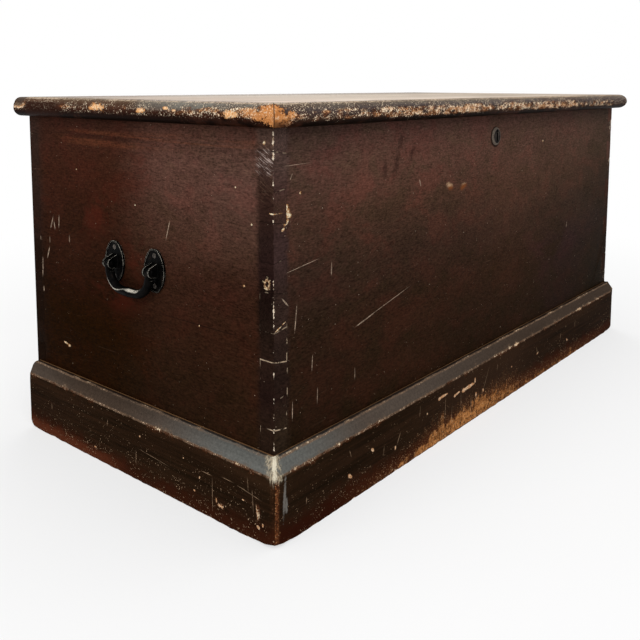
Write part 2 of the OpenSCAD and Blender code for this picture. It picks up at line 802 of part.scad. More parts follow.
module bail(s) {
    color(iron) place() on_end(s) translate([half_l + pivot_out, 0, handle_z]) difference() {
        union() {
            for (k = [0, 1]) mirror([0, k, 0]) {
                translate([0, rose_gap / 2, 0]) bar_y(ear_r - 1, 2 * bail_r);
                translate([0, rose_gap / 2, -bend_z]) cylinder(r = bail_r, h = bend_z);
                rotate([90, 0, 90]) translate([grip_l / 2, -bend_z, 0]) rotate([0, 0, -90])
                    rotate_extrude(angle = 90) translate([bend_r, 0]) circle(bail_r);
            }
            // grip, slightly fuller in the middle
            for (k = [0, 180]) translate([0, 0, -bail_drop]) rotate([90, 0, k])
                cylinder(r1 = grip_r, r2 = bail_r, h = grip_l / 2);
        }
        // eyes: a bore for the pin, and flats that clear the ears
        for (k = [-1, 1]) translate([0, k * rose_gap / 2, 0]) {
            bar_y(bail_pin_r + run_fit, eye_w + 2);
            for (j = [-1, 1]) translate([0, j * (eye_w / 2 + bail_r), 0]) bar_y(flat_r, 2 * bail_r);
        }
    }
}
module bail_pins(s) {
    pin_l = eye_w + 2 * ear_gap + 2 * ear_t;
    color(dull_iron) place() on_end(s) for (k = [-1, 1])
        translate([half_l + pivot_out, k * rose_gap / 2, handle_z]) {
            bar_y(bail_pin_r, pin_l);
            for (j = [0, 180]) rotate([90, 0, j]) translate([0, 0, pin_l / 2])
                cylinder(r1 = 1.6 * bail_pin_r, r2 = bail_pin_r, h = pivot_head);
        }
}
module rose_screws(s) {
    color(dull_iron) place() on_end(s) at_rose_screws() screw(screw_l, 15);
}

front_board();
back_board();
end_board(-1);  // end_board_left
end_board(1);  // end_board_right
bottom_board(0);  // bottom_board_1
bottom_board(1);  // bottom_board_2
bottom_board(2);  // bottom_board_3
bottom_board(3);  // bottom_board_4
bottom_board(4);  // bottom_board_5
plinth_front();
plinth_end(-1);  // plinth_left
plinth_end(1);  // plinth_right
plinth_back_rail();
plinth_corner_blocks();
bottom_nails();
plinth_brads();
lid_board(false);  // lid_board_front
lid_board(true);  // lid_board_back
lid_moulding_front();
lid_moulding_end(-1);  // lid_moulding_left
lid_moulding_end(1);  // lid_moulding_right
lid_moulding_brads();
hinge_lower_leaf(-1);  // hinge_left_lower_leaf
hinge_upper_leaf(-1);  // hinge_left_upper_leaf
hinge_pin(-1);  // hinge_left_pin
hinge_lower_leaf(1);  // hinge_right_lower_leaf
hinge_upper_leaf(1);  // hinge_right_upper_leaf
hinge_pin(1);  // hinge_right_pin
hinge_lower_screws();
hinge_upper_screws();
escutcheon();
escutcheon_pins();
lock_plate();
lock_case();
lock_bolt();
lock_spring();
lock_key_pin();
lock_ward();
lock_screws();
lock_link_plate();
link_plate_screws();
rose(-1, -1);  // handle_left_rose_front
rose(-1, 1);  // handle_left_rose_back
bail(-1);  // handle_left_bail
bail_pins(-1);  // handle_left_bail_pins
rose_screws(-1);  // handle_left_screws
rose(1, -1);  // handle_right_rose_front
rose(1, 1);  // handle_right_rose_back
bail(1);  // handle_right_bail
bail_pins(1);  // handle_right_bail_pins
rose_screws(1);  // handle_right_screws
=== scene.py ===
import math
import bpy
from mathutils import Matrix, Vector, noise


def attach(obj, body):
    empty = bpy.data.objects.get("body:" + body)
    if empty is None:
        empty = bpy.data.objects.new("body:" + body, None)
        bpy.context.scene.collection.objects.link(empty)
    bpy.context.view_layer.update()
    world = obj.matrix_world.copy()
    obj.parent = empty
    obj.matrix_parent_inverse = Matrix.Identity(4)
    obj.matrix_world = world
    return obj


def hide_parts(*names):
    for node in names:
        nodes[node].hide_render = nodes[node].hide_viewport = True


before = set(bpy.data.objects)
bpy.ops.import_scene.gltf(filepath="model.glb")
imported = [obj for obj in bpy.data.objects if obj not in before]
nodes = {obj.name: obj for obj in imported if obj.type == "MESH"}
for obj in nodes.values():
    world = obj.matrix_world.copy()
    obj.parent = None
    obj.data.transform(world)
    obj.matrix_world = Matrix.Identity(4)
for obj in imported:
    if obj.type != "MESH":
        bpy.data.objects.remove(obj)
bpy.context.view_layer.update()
scene = bpy.context.scene
print("frame loaded:", len(nodes), "nodes")

# the chest in metres
chest = {
    # outer faces of the box, middle and half of its depth, thickness of its boards
    "endX": 0.530, "frontY": -0.242, "backY": 0.260, "middleY": 0.009, "halfY": 0.251, "board": 0.022,
    # the base: top, lower edge of its bevel, outer faces
    "baseTop": 0.104, "baseEdge": 0.085, "baseX": 0.5453, "baseY": -0.2573,
    # the lid: top and back, radius and outer faces of the nose round it
    "lidTop": 0.511, "lidBack": 0.265, "nose": 0.014, "noseX": 0.553, "noseY": -0.265,
}


def deselectAll():
    for item in list(bpy.context.selected_objects):
        item.select_set(False)


def makeActive(piece):
    deselectAll()
    piece.select_set(True)
    bpy.context.view_layer.objects.active = piece


def settle(piece):
    # the object's place goes into its mesh
    makeActive(piece)
    bpy.ops.object.transform_apply(location=True, rotation=True, scale=True)
    return piece


def addBlock(name, low, high):
    deselectAll()
    low, high = Vector(low), Vector(high)
    bpy.ops.mesh.primitive_cube_add(size=1, location=(low + high) / 2, scale=high - low)
    piece = bpy.context.active_object
    piece.name = name
    return settle(piece)


def pick(piece, kind, test):
    # selects the edges or vertices that pass the test, and stays in edit mode
    makeActive(piece)
    bpy.ops.object.mode_set(mode="EDIT")
    bpy.ops.mesh.select_mode(type="EDGE" if kind == "edges" else "VERT")
    bpy.ops.mesh.select_all(action="DESELECT")
    bpy.ops.object.mode_set(mode="OBJECT")
    mesh = piece.data
    if kind == "edges":
        for edge in mesh.edges:
            edge.select = test(mesh.vertices[edge.vertices[0]].co, mesh.vertices[edge.vertices[1]].co)
    else:
        for vertex in mesh.vertices:
            vertex.select = test(vertex.co, vertex.normal)
    bpy.ops.object.mode_set(mode="EDIT")


def leaveEdit():
    bpy.ops.object.mode_set(mode="OBJECT")


def slicePiece(piece, point, normal, keepInside=True):
    # cuts by a plane: with keepInside the normal's side goes and the cut is closed, else the faces are only divided
    makeActive(piece)
    bpy.ops.object.mode_set(mode="EDIT")
    bpy.ops.mesh.select_mode(type="FACE")
    bpy.ops.mesh.select_all(action="SELECT")
    bpy.ops.mesh.bisect(plane_co=point, plane_no=normal, use_fill=keepInside, clear_outer=keepInside)
    leaveEdit()


def splitAlong(piece, axis, cuts):
    # divides the edges that run along the axis, by at most 12 at a time
    rounds = []
    left = cuts + 1
    while left > 1:
        step = next(size for size in range(min(12, left), 0, -1) if left % size == 0 or size == 2)
        rounds.append(max(step, 2) - 1)
        left = left // max(step, 2)
    for count in rounds:
        pick(piece, "edges", lambda a, b: abs((b - a).normalized()[axis]) > 0.98)
        bpy.ops.mesh.subdivide(number_cuts=count)
        leaveEdit()


def roundEdges(piece, test, width, segments):
    pick(piece, "edges", test)
    bpy.ops.mesh.bevel(offset=width, segments=segments, profile=0.5, affect="EDGES")
    leaveEdit()


def weld(piece, distance=0.00002):
    makeActive(piece)
    bpy.ops.object.mode_set(mode="EDIT")
    bpy.ops.mesh.select_all(action="SELECT")
    bpy.ops.mesh.remove_doubles(threshold=distance)
    bpy.ops.mesh.normals_make_consistent(inside=False)
    leaveEdit()


def applyModifiers(piece):
    makeActive(piece)
    for modifier in list(piece.modifiers):
        bpy.ops.object.modifier_apply(modifier=modifier.name)


def easeArrises(piece, width, degrees, **settings):
    # edges sharper than so many degrees get a small rounding
    bevel = piece.modifiers.new("arris", "BEVEL")
    bevel.width, bevel.segments, bevel.limit_method, bevel.angle_limit = width, 2, "ANGLE", math.radians(degrees)
    for key, value in settings.items():
        setattr(bevel, key, value)
    applyModifiers(piece)


def smoothShade(piece, angle=40):
    makeActive(piece)
    bpy.ops.object.shade_smooth_by_angle(angle=math.radians(angle))


def finishPiece(piece, body, slotName, *replaced):
    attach(piece, body)
    if replaced:
        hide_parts(*replaced)


class Wire:
    # an output socket of a node; sums with it, such as 1 - mask or mask * 3, add Math nodes
    def __init__(self, socket):
        self.socket = socket

    def join(self, operation, left, right=None):
        tree = self.socket.id_data
        made = tree.nodes.new("ShaderNodeMath")
        made.operation = operation
        for place, item in zip(made.inputs, (left, right)):
            if isinstance(item, Wire):
                tree.links.new(item.socket, place)
            elif item is not None:
                place.default_value = item
        return Wire(made.outputs[0])

    def __add__(self, other):
        return self.join("ADD", self, other)

    def __radd__(self, other):
        return self.join("ADD", other, self)

    def __sub__(self, other):
        return self.join("SUBTRACT", self, other)

    def __rsub__(self, other):
        return self.join("SUBTRACT", other, self)

    def __mul__(self, other):
        return self.join("MULTIPLY", self, other)

    def __rmul__(self, other):
        return self.join("MULTIPLY", other, self)

    def __abs__(self):
        return self.join("ABSOLUTE", self)

    def least(self, other):
        return self.join("MINIMUM", self, other)

    def most(self, other):
        return self.join("MAXIMUM", self, other)

    def reach(self, other):
        # distance from nothing, with the other wire at a right angle
        return self.join("SQRT", self * self + other * other)

    def sway(self, amount):
        # noise from 0 to 1 becomes a swing to either side of nothing
        return (self - 0.5) * amount


def tint(red, green, blue):
    # a colour as seen on screen, 0 to 255, turned to a linear one
    linear = [c / 255 / 12.92 if c < 11 else ((c / 255 + 0.055) / 1.055) ** 2.4 for c in (red, green, blue)]
    return (*linear, 1)


class Finish:
    # one material: the nodes that are added to it, and its colour so far
    def __init__(self, name, **fixed):
        self.material = bpy.data.materials.new(name)
        self.material.use_nodes = True
        self.tree = self.material.node_tree
        self.shader = self.tree.nodes["Principled BSDF"]
        for key, value in fixed.items():
            self.shader.inputs[key.replace("_", " ")].default_value = value
        self.place = self.node("TexCoord", {}, {}, "Object")
        axes = [self.node("SeparateXYZ", {}, {"Vector": self.place}, axis) for axis in "XYZ"]
        self.x, self.y, self.z = axes

    def node(self, kind, settings, sockets, output=0):
        made = self.tree.nodes.new("ShaderNode" + kind)
        for key, value in settings.items():
            if key == "stops":
                marks = made.color_ramp.elements
                marks[0].position, marks[1].position = value[0][0], value[-1][0]
                for at, _ in value[1:-1]:
                    marks.new(at)
                for mark, (_, colour) in zip(marks, value):
                    mark.color = tint(*colour)
            else:
                setattr(made, key, value)
        for key, value in sockets.items():
            if isinstance(value, Wire):
                self.tree.links.new(value.socket, made.inputs[key])
            else:
                made.inputs[key].default_value = value
        return Wire(made.outputs[output])

    def noise(self, scale, detail=4, rough=0.55, shift=(0, 0, 0), warp=0.0):
        # scale is in waves a metre, one for all axes or one each
        scale = scale if isinstance(scale, (tuple, list)) else (scale,) * 3
        spot = self.node("Mapping", {}, {"Vector": self.place, "Location": shift, "Scale": scale})
        sockets = {"Vector": spot, "Scale": 1.0, "Detail": detail, "Roughness": rough, "Distortion": warp}
        return self.node("TexNoise", {}, sockets)

    def step(self, value, low, high):
        # 0 below low, 1 above high, smooth between; low may be the larger one
        if low > high:
            return 1 - self.step(value, high, low)
        sockets = {"Value": value, "From Min": low, "From Max": high}
        return self.node("MapRange", {"interpolation_type": "SMOOTHSTEP"}, sockets)

    def mix(self, factor, first, second, blend="MIX"):
        # colours are wires, (red, green, blue) from 0 to 255, or shares with a fourth value
        first, second = (
            tint(*item) if isinstance(item, tuple) and len(item) == 3 else item for item in (first, second)
        )
        settings = {"data_type": "RGBA", "blend_type": blend}
        return self.node("Mix", settings, {0: factor, 6: first, 7: second}, 2)

    def fade(self, value, *stops):
        # colours along a value, as (place, (red, green, blue)) from low to high
        return self.node("ValToRGB", {"stops": stops}, {"Fac": value})

    def shade(self, colour, amount):
        # darker where the amount is below 1, lighter above
        return self.mix(1.0, colour, amount, "MULTIPLY")

    def over(self, mask, colour, blend="MIX"):
        # lays a colour over the finish so far, where the mask lets it
        self.colour = self.mix(mask, self.colour, colour, blend)

    def vary(self, amount):
        # makes the finish so far darker or lighter from place to place
        self.colour = self.shade(self.colour, amount)

    def wear(self):
        # the piece's own wear, 0 to 1
        return self.node("Attribute", {"attribute_name": "wear"}, {}, "Fac")

    def turned(self, centre, turn, size):
        # the place as seen from a centre, along turned axes, in units of a size
        sockets = {"Vector": self.place, "Location": centre, "Rotation": turn, "Scale": size}
        return self.node("Mapping", {"vector_type": "TEXTURE"}, sockets)

    def strokes(self, turn, lengths, shift=(0, 0, 0)):
        # noise drawn out along turned axes; lengths are the sizes of a stroke
        spot = self.turned(shift, turn, lengths)
        return self.node("TexNoise", {}, {"Vector": spot, "Scale": 1.0, "Detail": 3.0, "Roughness": 0.6})

    def marks(self, places):
        # spindle shapes: (centre, half sizes, turn); below 1 inside any of them
        nearest = None
        for centre, size, turn in places:
            spot = self.turned(centre, turn, size)
            far = self.node("VectorMath", {"operation": "LENGTH"}, {0: spot}, "Value")
            nearest = far if nearest is None else nearest.least(far)
        return nearest

    def feed(self, roughness, height, depth):
        # the colour so far, the roughness and the relief go into the shader; depth is in metres
        bump = self.node("Bump", {}, {"Height": height, "Distance": depth, "Strength": 1.0}, "Normal")
        for key, wire in (("Base Color", self.colour), ("Roughness", roughness), ("Normal", bump)):
            self.tree.links.new(wire.socket, self.shader.inputs[key])
        return self.material


camera = {
    "place": (-1.16539, -0.83331, 0.53141), "yaw": 50.226, "pitch": 6.3, "roll": 0.1716,
    "lens": 44.198, "film": 36, "shiftX": 0.00552, "shiftY": -0.23317, "nearest": 0.02, "farthest": 60,
}


def addCamera():
    yaw, pitch, roll = (math.radians(camera[key]) for key in ("yaw", "pitch", "roll"))
    ahead = Vector((math.sin(yaw) * math.cos(pitch), math.cos(yaw) * math.cos(pitch), -math.sin(pitch)))
    right = Vector((math.cos(yaw), -math.sin(yaw), 0))
    up = right.cross(ahead)
    across = math.cos(roll) * right + math.sin(roll) * up
    above = -math.sin(roll) * right + math.cos(roll) * up
    turn = Matrix((across, above, -ahead)).transposed()
    data = bpy.data.cameras.new("camera")
    data.lens, data.sensor_width = camera["lens"], camera["film"]
    data.shift_x, data.shift_y = camera["shiftX"], camera["shiftY"]
    data.clip_start, data.clip_end = camera["nearest"], camera["farthest"]
    item = bpy.data.objects.new("camera", data)
    item.matrix_world = Matrix.Translation(camera["place"]) @ turn.to_4x4()
    scene.collection.objects.link(item)
    scene.camera = item


light = {
    "world": 0.52, "floor": (0.88, 0.88, 0.88, 1), "floorSize": 24,
    # the floor glows white to the camera: its share near the chest, and the distances where that grows to 1
    "white": 0.6, "fadeFrom": 0.75, "fadeTo": 1.7,
    "lamps": [
        # name, place, aim, width, height, watts
        ("keyLamp", (-1.9, -2.6, 2.6), (0.0, 0.0, 0.25), 1.8, 1.4, 50),
        ("topLamp", (0.2, -0.3, 2.7), (0.0, 0.0, 0.4), 2.2, 1.8, 26),
        ("sideLamp", (-3.2, 0.6, 1.7), (-0.3, 0.0, 0.25), 1.6, 1.2, 21),
        ("backLamp", (2.2, 2.6, 2.0), (0.0, 0.0, 0.3), 1.8, 1.4, 27),
    ],
}


def seenRays(tree):
    # 1 for rays that come straight from the camera or through glass
    path = tree.nodes.new("ShaderNodeLightPath")
    return Wire(path.outputs["Is Camera Ray"]).most(Wire(path.outputs["Is Transmission Ray"]))


def addLight():
    for name, place, aim, width, height, watts in light["lamps"]:
        data = bpy.data.lights.new(name, "AREA")
        data.shape, data.size, data.size_y, data.energy = "RECTANGLE", width, height, watts
        item = bpy.data.objects.new(name, data)
        item.location = place
        item.rotation_euler = (Vector(aim) - Vector(place)).to_track_quat("-Z", "Y").to_euler()
        scene.collection.objects.link(item)
    world = bpy.data.worlds.new("studio")
    scene.world = world
    world.use_nodes = True
    tree = world.node_tree
    backdrop = tree.nodes["Background"]
    strength = seenRays(tree) * (1 - light["world"]) + light["world"]
    tree.links.new(strength.socket, backdrop.inputs["Strength"])
    backdrop.inputs["Color"].default_value = (1, 1, 1, 1)


def addFloor():
    deselectAll()
    bpy.ops.mesh.primitive_plane_add(size=light["floorSize"], location=(0, 0, 0))
    floor = bpy.context.active_object
    floor.name = "floor"
    finish = Finish("paleFloor", Roughness=0.9, Specular_IOR_Level=0.0)
    finish.shader.inputs["Base Color"].default_value = light["floor"]
    seen = seenRays(finish.tree)
    glow = finish.node("Emission", {}, {"Color": (1, 1, 1, 1), "Strength": 1.0})
    away = finish.node("VectorMath", {"operation": "LENGTH"}, {0: finish.place}, "Value")
    white = light["white"] + (1 - light["white"]) * finish.step(away, light["fadeFrom"], light["fadeTo"])
    both = finish.node("MixShader", {}, {0: seen * white, 1: Wire(finish.shader.outputs[0]), 2: glow})
    finish.tree.links.new(both.socket, finish.tree.nodes["Material Output"].inputs["Surface"])
    floor.data.materials.append(finish.material)


scene.view_settings.view_transform = "Standard"
addCamera()
addLight()
addFloor()
print("camera, lamps and floor are in place")


def octaves(*place):
    # smooth noise of the place, about -1 to 1
    spot = Vector(place)
    return noise.noise(spot) + 0.5 * noise.noise(spot * 2.3 + Vector((5, 3, 1))) + 0.25 * noise.noise(spot * 5.1)


def along(stops, at):
    # a value that runs straight between stops of (place, value)
    if at <= stops[0][0]:
        return stops[0][1]
    for (a, low), (b, high) in zip(stops, stops[1:]):
        if at <= b:
            return low + (high - low) * (at - a) / (b - a)
    return stops[-1][1]


def wearDown(piece, amountAt, depth, outward):
    # worn places that face outward sink in by up to depth; the finish reads the same amounts
    mesh = piece.data
    amounts = []
    for vertex in mesh.vertices:
        faces = vertex.normal.dot(outward) > 0.05
        amounts.append(max(0.0, min(1.0, amountAt(vertex.co))) if faces else 0.0)
    layer = mesh.attributes.new("wear", "FLOAT", "POINT")
    layer.data.foreach_set("value", amounts)
    group = piece.vertex_groups.new(name="sink")
    for number, amount in enumerate(amounts):
        if amount > 0.01:
            group.add([number], amount, "REPLACE")
    modifier = piece.modifiers.new("sink", "DISPLACE")
    modifier.direction, modifier.strength, modifier.mid_level = "NORMAL", -depth, 0.0
    modifier.vertex_group = "sink"
    applyModifiers(piece)
    piece.vertex_groups.clear()


def endsOf(side):
    # where a board has mitres: side 0 is the front, with two of them, -1 and 1 are the ends, with one each
    return (-1, 1) if side == 0 else (side,)


def outwardOf(side):
    return Vector((0, -1, 0)) if side == 0 else Vector((side, 0, 0))


def mitre(piece, x, y, end, side):
    # x and y are the outer faces of the boards that meet
    slicePiece(piece, (end * x, y, 0), (end, 1, 0) if side == 0 else (-end, -1, 0))


plinth = {
    # small faces along and up a board, flat lip of the bevel at the box, rounding of the arrises, depth of the wear
    "cells": 288, "rows": 20, "bevelRows": 5, "lip": 0.0055, "arris": 0.0011, "sink": 0.0020,
    # rounding of the upright corners, and of their lowest tips by planes at these degrees
    "round": 0.008, "facets": 5, "tip": 0.0080, "tipTurns": (15, 45, 75), "tipFalls": (20, 42, 64),
    # the worn foot, as (distance from the corner, degrees); the back ends, round below and above
    "wornFoot": ((0.046, 4.5), (0.030, 9.0), (0.014, 17.0)), "heel": 0.014, "brow": 0.009, "heelFacets": 5,
    # wear by distance from an arris or a corner, as (distance, amount)
    "lowerWear": [(0, 1), (0.004, 0.55), (0.012, 0)], "upperWear": [(0, 1), (0.004, 0.4), (0.009, 0)],
    "footWear": [(0, 1), (0.004, 0.5), (0.010, 0)], "cornerWear": [(0, 0.75), (0.006, 0.45), (0.013, 0)],
    # what lies deeper than this, below this height, has no wear
    "skin": 0.0145, "skinTop": 0.1,
    # chips of each side: place along the board, z, half length, half height, strength
    "chips": {
        0: [(-0.404, 0.034, 0.004, 0.004, 0.8)],
        -1: [(-0.166, 0.022, 0.007, 0.004, 0.8), (-0.230, 0.036, 0.004, 0.012, 0.7)],
        1: [],
    },
}


def baseWear(co, length, outward, chips):
    # how worn the base board is at a point; length is the place along it
    edge = 1.2 * noise.noise(Vector((length * 9, outward, 3)))
    lower = along(plinth["lowerWear"], abs(co.z - chest["baseEdge"]))
    upper = along(plinth["upperWear"], abs(co.z - chest["baseTop"]))
    foot = along(plinth["footWear"], co.z)
    ragged = octaves(length * 62, co.z * 90, outward * 5)
    amount = max(lower * (0.30 + 0.3 * edge), upper * (0.26 + 0.35 * edge), foot * 0.30)
    amount = amount + 0.40 * ragged * max(lower, upper, foot)
    for middle, level, half, high, strength in chips:
        away = math.hypot((length - middle) / half, (co.z - level) / high)
        amount = max(amount, strength * (1.25 - away + 0.5 * ragged))
    return amount


def roundTip(piece, end):
    # the lower outer corner is worn round by planes that touch a ball
    ball = plinth["tip"]
    centre = Vector((end * (chest["baseX"] - ball), chest["baseY"] + ball, ball))
    for fall in plinth["tipFalls"]:
        for turn in plinth["tipTurns"]:
            across, down = math.radians(turn), math.radians(fall)
            level = Vector((end * math.sin(across), -math.cos(across), 0))
            out = level * math.cos(down) - Vector((0, 0, math.sin(down)))
            slicePiece(piece, centre + out * ball, out)


def wearFoot(piece, axis, end):
    # the foot rises gently toward the corner; each cut starts so far from it, at so many degrees
    for start, rise in plinth["wornFoot"]:
        turn = math.radians(rise)
        corner = end * chest["baseX"] if axis == 0 else chest["baseY"]
        way = end if axis == 0 else -1
        point, out = [0, 0, 0], [0, 0, -math.cos(turn)]
        point[axis], out[axis] = corner - way * start, way * math.sin(turn)
        slicePiece(piece, point, out)


def roundHeel(piece, key, level, way):
    # the back end of a side board is rounded at the foot (way -1) or under the top (way 1)
    size = plinth[key]
    centre = Vector((0, chest["backY"] - size, level - way * size))
    for facet in range(plinth["heelFacets"]):
        turn = math.radians(90 * (facet + 0.5) / plinth["heelFacets"])
        out = Vector((0, math.cos(turn), way * math.sin(turn)))
        slicePiece(piece, centre + out * size, out)


def makeBaseBoard(name, side):
    # side 0 is the front, -1 and 1 are the ends
    x, y = chest["baseX"], chest["baseY"]
    inX, inY = chest["endX"], chest["frontY"]
    if side == 0:
        low, high, axis = (-x, y, 0), (x, inY, chest["baseTop"]), 0
    else:
        near, far = sorted((side * x, side * inX))
        low, high, axis = (near, y, 0), (far, chest["backY"], chest["baseTop"]), 1
    piece = addBlock(name, low, high)
    run, rise = abs(chest["baseY"] - chest["frontY"]) - plinth["lip"], chest["baseTop"] - chest["baseEdge"]
    if side == 0:
        slicePiece(piece, (0, y, chest["baseEdge"]), Vector((0, -rise, run)).normalized())
    else:
        slicePiece(piece, (side * x, 0, chest["baseEdge"]), Vector((side * rise, 0, run)).normalized())
    for row in range(1, plinth["rows"]):
        level = chest["baseEdge"] * row / plinth["rows"]
        slicePiece(piece, (0, 0, level), (0, 0, 1), False)
    for row in range(1, plinth["bevelRows"]):
        slicePiece(piece, (0, 0, chest["baseEdge"] + rise * row / plinth["bevelRows"]), (0, 0, 1), False)
    # the ends are half as long as the front
    splitAlong(piece, axis, (plinth["cells"] if side == 0 else plinth["cells"] // 2) - 1)
    for end in endsOf(side):
        centre = Vector((end * (x - plinth["round"]), y + plinth["round"], 0))
        for facet in range(plinth["facets"]):
            turn = math.radians(45 * (facet + 0.5) / plinth["facets"])
            if side == 0:
                out = Vector((end * math.sin(turn), -math.cos(turn), 0))
            else:
                out = Vector((end * math.cos(turn), -math.sin(turn), 0))
            slicePiece(piece, centre + out * plinth["round"], out)
        mitre(piece, x, y, end, side)
    weld(piece)
    easeArrises(piece, plinth["arris"], 24)
    for end in endsOf(side):
        wearFoot(piece, axis, end)
        roundTip(piece, end)
    if side:
        roundHeel(piece, "heel", 0, -1)
        roundHeel(piece, "brow", chest["baseTop"], 1)
    outer = abs(y) if side == 0 else x

    def amount(co):
        depth = abs(co.y) if side == 0 else abs(co.x)
        if depth < outer - plinth["skin"] and co.z < plinth["skinTop"]:
            return 0
        worn = baseWear(co, co[axis], side * 3.7, plinth["chips"][side])
        corner = along(plinth["cornerWear"], math.hypot(abs(co.x) - x, co.y - y))
        return max(worn, corner * (0.8 + 0.5 * octaves(co.z * 60, side, 2)))

    wearDown(piece, amount, plinth["sink"], outwardOf(side))
    smoothShade(piece)
    return piece


moulding = {
    # small faces along it and round its nose, its depth, how far the rounding stays short of the block,
    # rounding of its arrises and depth of the wear
    "cells": 288, "steps": 14, "deep": 0.022, "spare": 0.00003, "arris": 0.0008, "sink": 0.0017,
    # height of the rubbed band on the nose, and its wear by distance from there
    "band": {"front": 0.4966, "end": 0.5000},
    "proud": {
        "front": [(0, 1), (0.0045, 0.8), (0.0085, 0.2), (0.012, 0)],
        "end": [(0, 1), (0.0035, 0.8), (0.0065, 0.2), (0.010, 0)],
    },
    # by distance from the mitre: how much wider the band is, and wear of the corner
    "tipSpread": [(0, 2.2), (0.05, 1.0)], "cornerWear": [(0, 1.0), (0.008, 0.7), (0.02, 0)],
    # how worn the nose is along the front and the ends, as (place, amount)
    "worn": {
        0: [
            (-0.553, 1.1), (-0.538, 0.8), (-0.516, 0.56), (-0.3, 0.66), (-0.05, 0.7), (0.12, 0.7), (0.26, 0.64),
            (0.42, 0.52), (0.553, 0.3),
        ],
        -1: [
            (-0.265, 1.1), (-0.235, 0.8), (-0.2, 0.64), (-0.13, 0.46), (-0.105, 0.34), (-0.085, 0.46), (-0.065, 0.32),
            (-0.045, 0.42), (-0.03, 0.34), (0.03, 0.34), (0.05, 0.46), (0.07, 0.34), (0.1, 0.36), (0.12, 0.48),
            (0.15, 0.4), (0.17, 0.26), (0.23, 0.28), (0.246, 0.8), (0.265, 0.85),
        ],
        1: [(-0.265, 0.4), (-0.1, 0.25), (0.265, 0.3)],
    },
}


def makeMoulding(name, side):
    x, y = chest["noseX"], chest["noseY"]
    inX, inY = x - moulding["deep"], y + moulding["deep"]
    under, over = chest["lidTop"] - 2 * chest["nose"], chest["lidTop"]
    if side == 0:
        low, high, axis = (-x, y, under), (x, inY, over), 0
    else:
        near, far = sorted((side * x, side * inX))
        low, high, axis = (near, y, under), (far, chest["lidBack"], over), 1
    piece = addBlock(name, low, high)
    outer = 1 if side == 0 else 0
    face = y if side == 0 else side * x

    def onNose(a, b):
        return abs(a[outer] - face) < 1e-5 and abs(b[outer] - face) < 1e-5 and abs((b - a)[axis]) > 0.1

    roundEdges(piece, onNose, chest["nose"] - moulding["spare"], moulding["steps"])
    splitAlong(piece, axis, (moulding["cells"] if side == 0 else moulding["cells"] // 2) - 1)
    for end in endsOf(side):
        mitre(piece, x, y, end, side)
    weld(piece, 0.00008)
    easeArrises(piece, moulding["arris"], 50)
    kind = "front" if side == 0 else "end"

    def amount(co):
        tip = math.hypot(abs(co.x) - x, co.y - y)
        nearTip = along(moulding["tipSpread"], tip)
        away = math.hypot(co.z - moulding["band"][kind], (abs(co[outer]) - abs(face)) * 0.4) / nearTip
        proud = along(moulding["proud"][kind], away)
        ragged = octaves(co[axis] * 70, co.z * 150, side * 2.9)
        slow = noise.noise(Vector((co[axis] * 11, co.z * 30, side * 4.1)))
        worn = along(moulding["worn"][side], co[axis])
        corner = along(moulding["cornerWear"], tip)
        return max(proud * (1.5 * worn - 0.45 + 0.6 * ragged + 0.45 * slow), corner * worn)

    wearDown(piece, amount, moulding["sink"], outwardOf(side))
    smoothShade(piece)
    return piece


sides = {"front": 0, "left": -1, "right": 1}
plinthPieces = {node: makeBaseBoard("worn_plinth_" + node, side) for node, side in sides.items()}
print("base boards are shaped:", [len(piece.data.polygons) for piece in plinthPieces.values()])
mouldPieces = {node: makeMoulding("worn_moulding_" + node, side) for node, side in sides.items()}
print("lid mouldings are shaped:", [len(piece.data.polygons) for piece in mouldPieces.values()])


iron = {
    # size of the skin's faces, rounds of smoothing and height of the lumps
    "voxel": 0.00052, "plateVoxel": 0.00034, "rounds": 5, "bailRounds": 8, "plateRounds": 3,
    "lump": 0.00022, "plateLump": 0.0001, "lumpSize": 0.006,
    # the middle of the chest, and the distance between the two roses of a handle
    "middle": (0, chest["middleY"], 0), "gap": 0.085,
}


def copyNode(name, node):
    # a copy of a piece of the frame, its loose triangles joined
    deselectAll()
    item = nodes[node]
    piece = bpy.data.objects.new(name, item.data.copy())
    scene.collection.objects.link(piece)
    piece.data.materials.clear()
    weld(piece, 0.000005)
    return piece


def convexity(piece):
    # how far each point stands proud of its neighbours, kept for the rubbed high spots and their painted highlights
    mesh = piece.data
    lift = [0.0] * len(mesh.vertices)
    count = [0] * len(mesh.vertices)
    for edge in mesh.edges:
        a, b = edge.vertices
        way = mesh.vertices[b].co - mesh.vertices[a].co
        size = max(way.length, 1e-9)
        lift[a] -= way.dot(mesh.vertices[a].normal) / size
        lift[b] += way.dot(mesh.vertices[b].normal) / size
        count[a] += 1
        count[b] += 1
    values = [rise / max(number, 1) for rise, number in zip(lift, count)]
    layer = mesh.attributes.new("proud", "FLOAT", "POINT")
    layer.data.foreach_set("value", values)


def castPiece(name, node, voxel, rounds=None, lump=None):
    # worn cast or forged iron: rounded edges and a slightly uneven skin
    piece = copyNode(name, node)
    remesh = piece.modifiers.new("skin", "REMESH")
    remesh.mode, remesh.voxel_size, remesh.use_smooth_shade = "VOXEL", voxel, True
    soften = piece.modifiers.new("ease", "SMOOTH")
    soften.factor, soften.iterations = 0.5, rounds or iron["rounds"]
    texture = bpy.data.textures.new(name + "Lumps", "CLOUDS")
    texture.noise_scale, texture.noise_depth = iron["lumpSize"], 2
    uneven = piece.modifiers.new("uneven", "DISPLACE")
    uneven.texture, uneven.strength, uneven.mid_level = texture, lump or iron["lump"], 1.0
    applyModifiers(piece)
    convexity(piece)
    return piece


def copyTurned(piece, name, matrix):
    # the same piece elsewhere, with its own mesh
    twin = bpy.data.objects.new(name, piece.data.copy())
    twin.data.transform(matrix)
    scene.collection.objects.link(twin)
    return twin


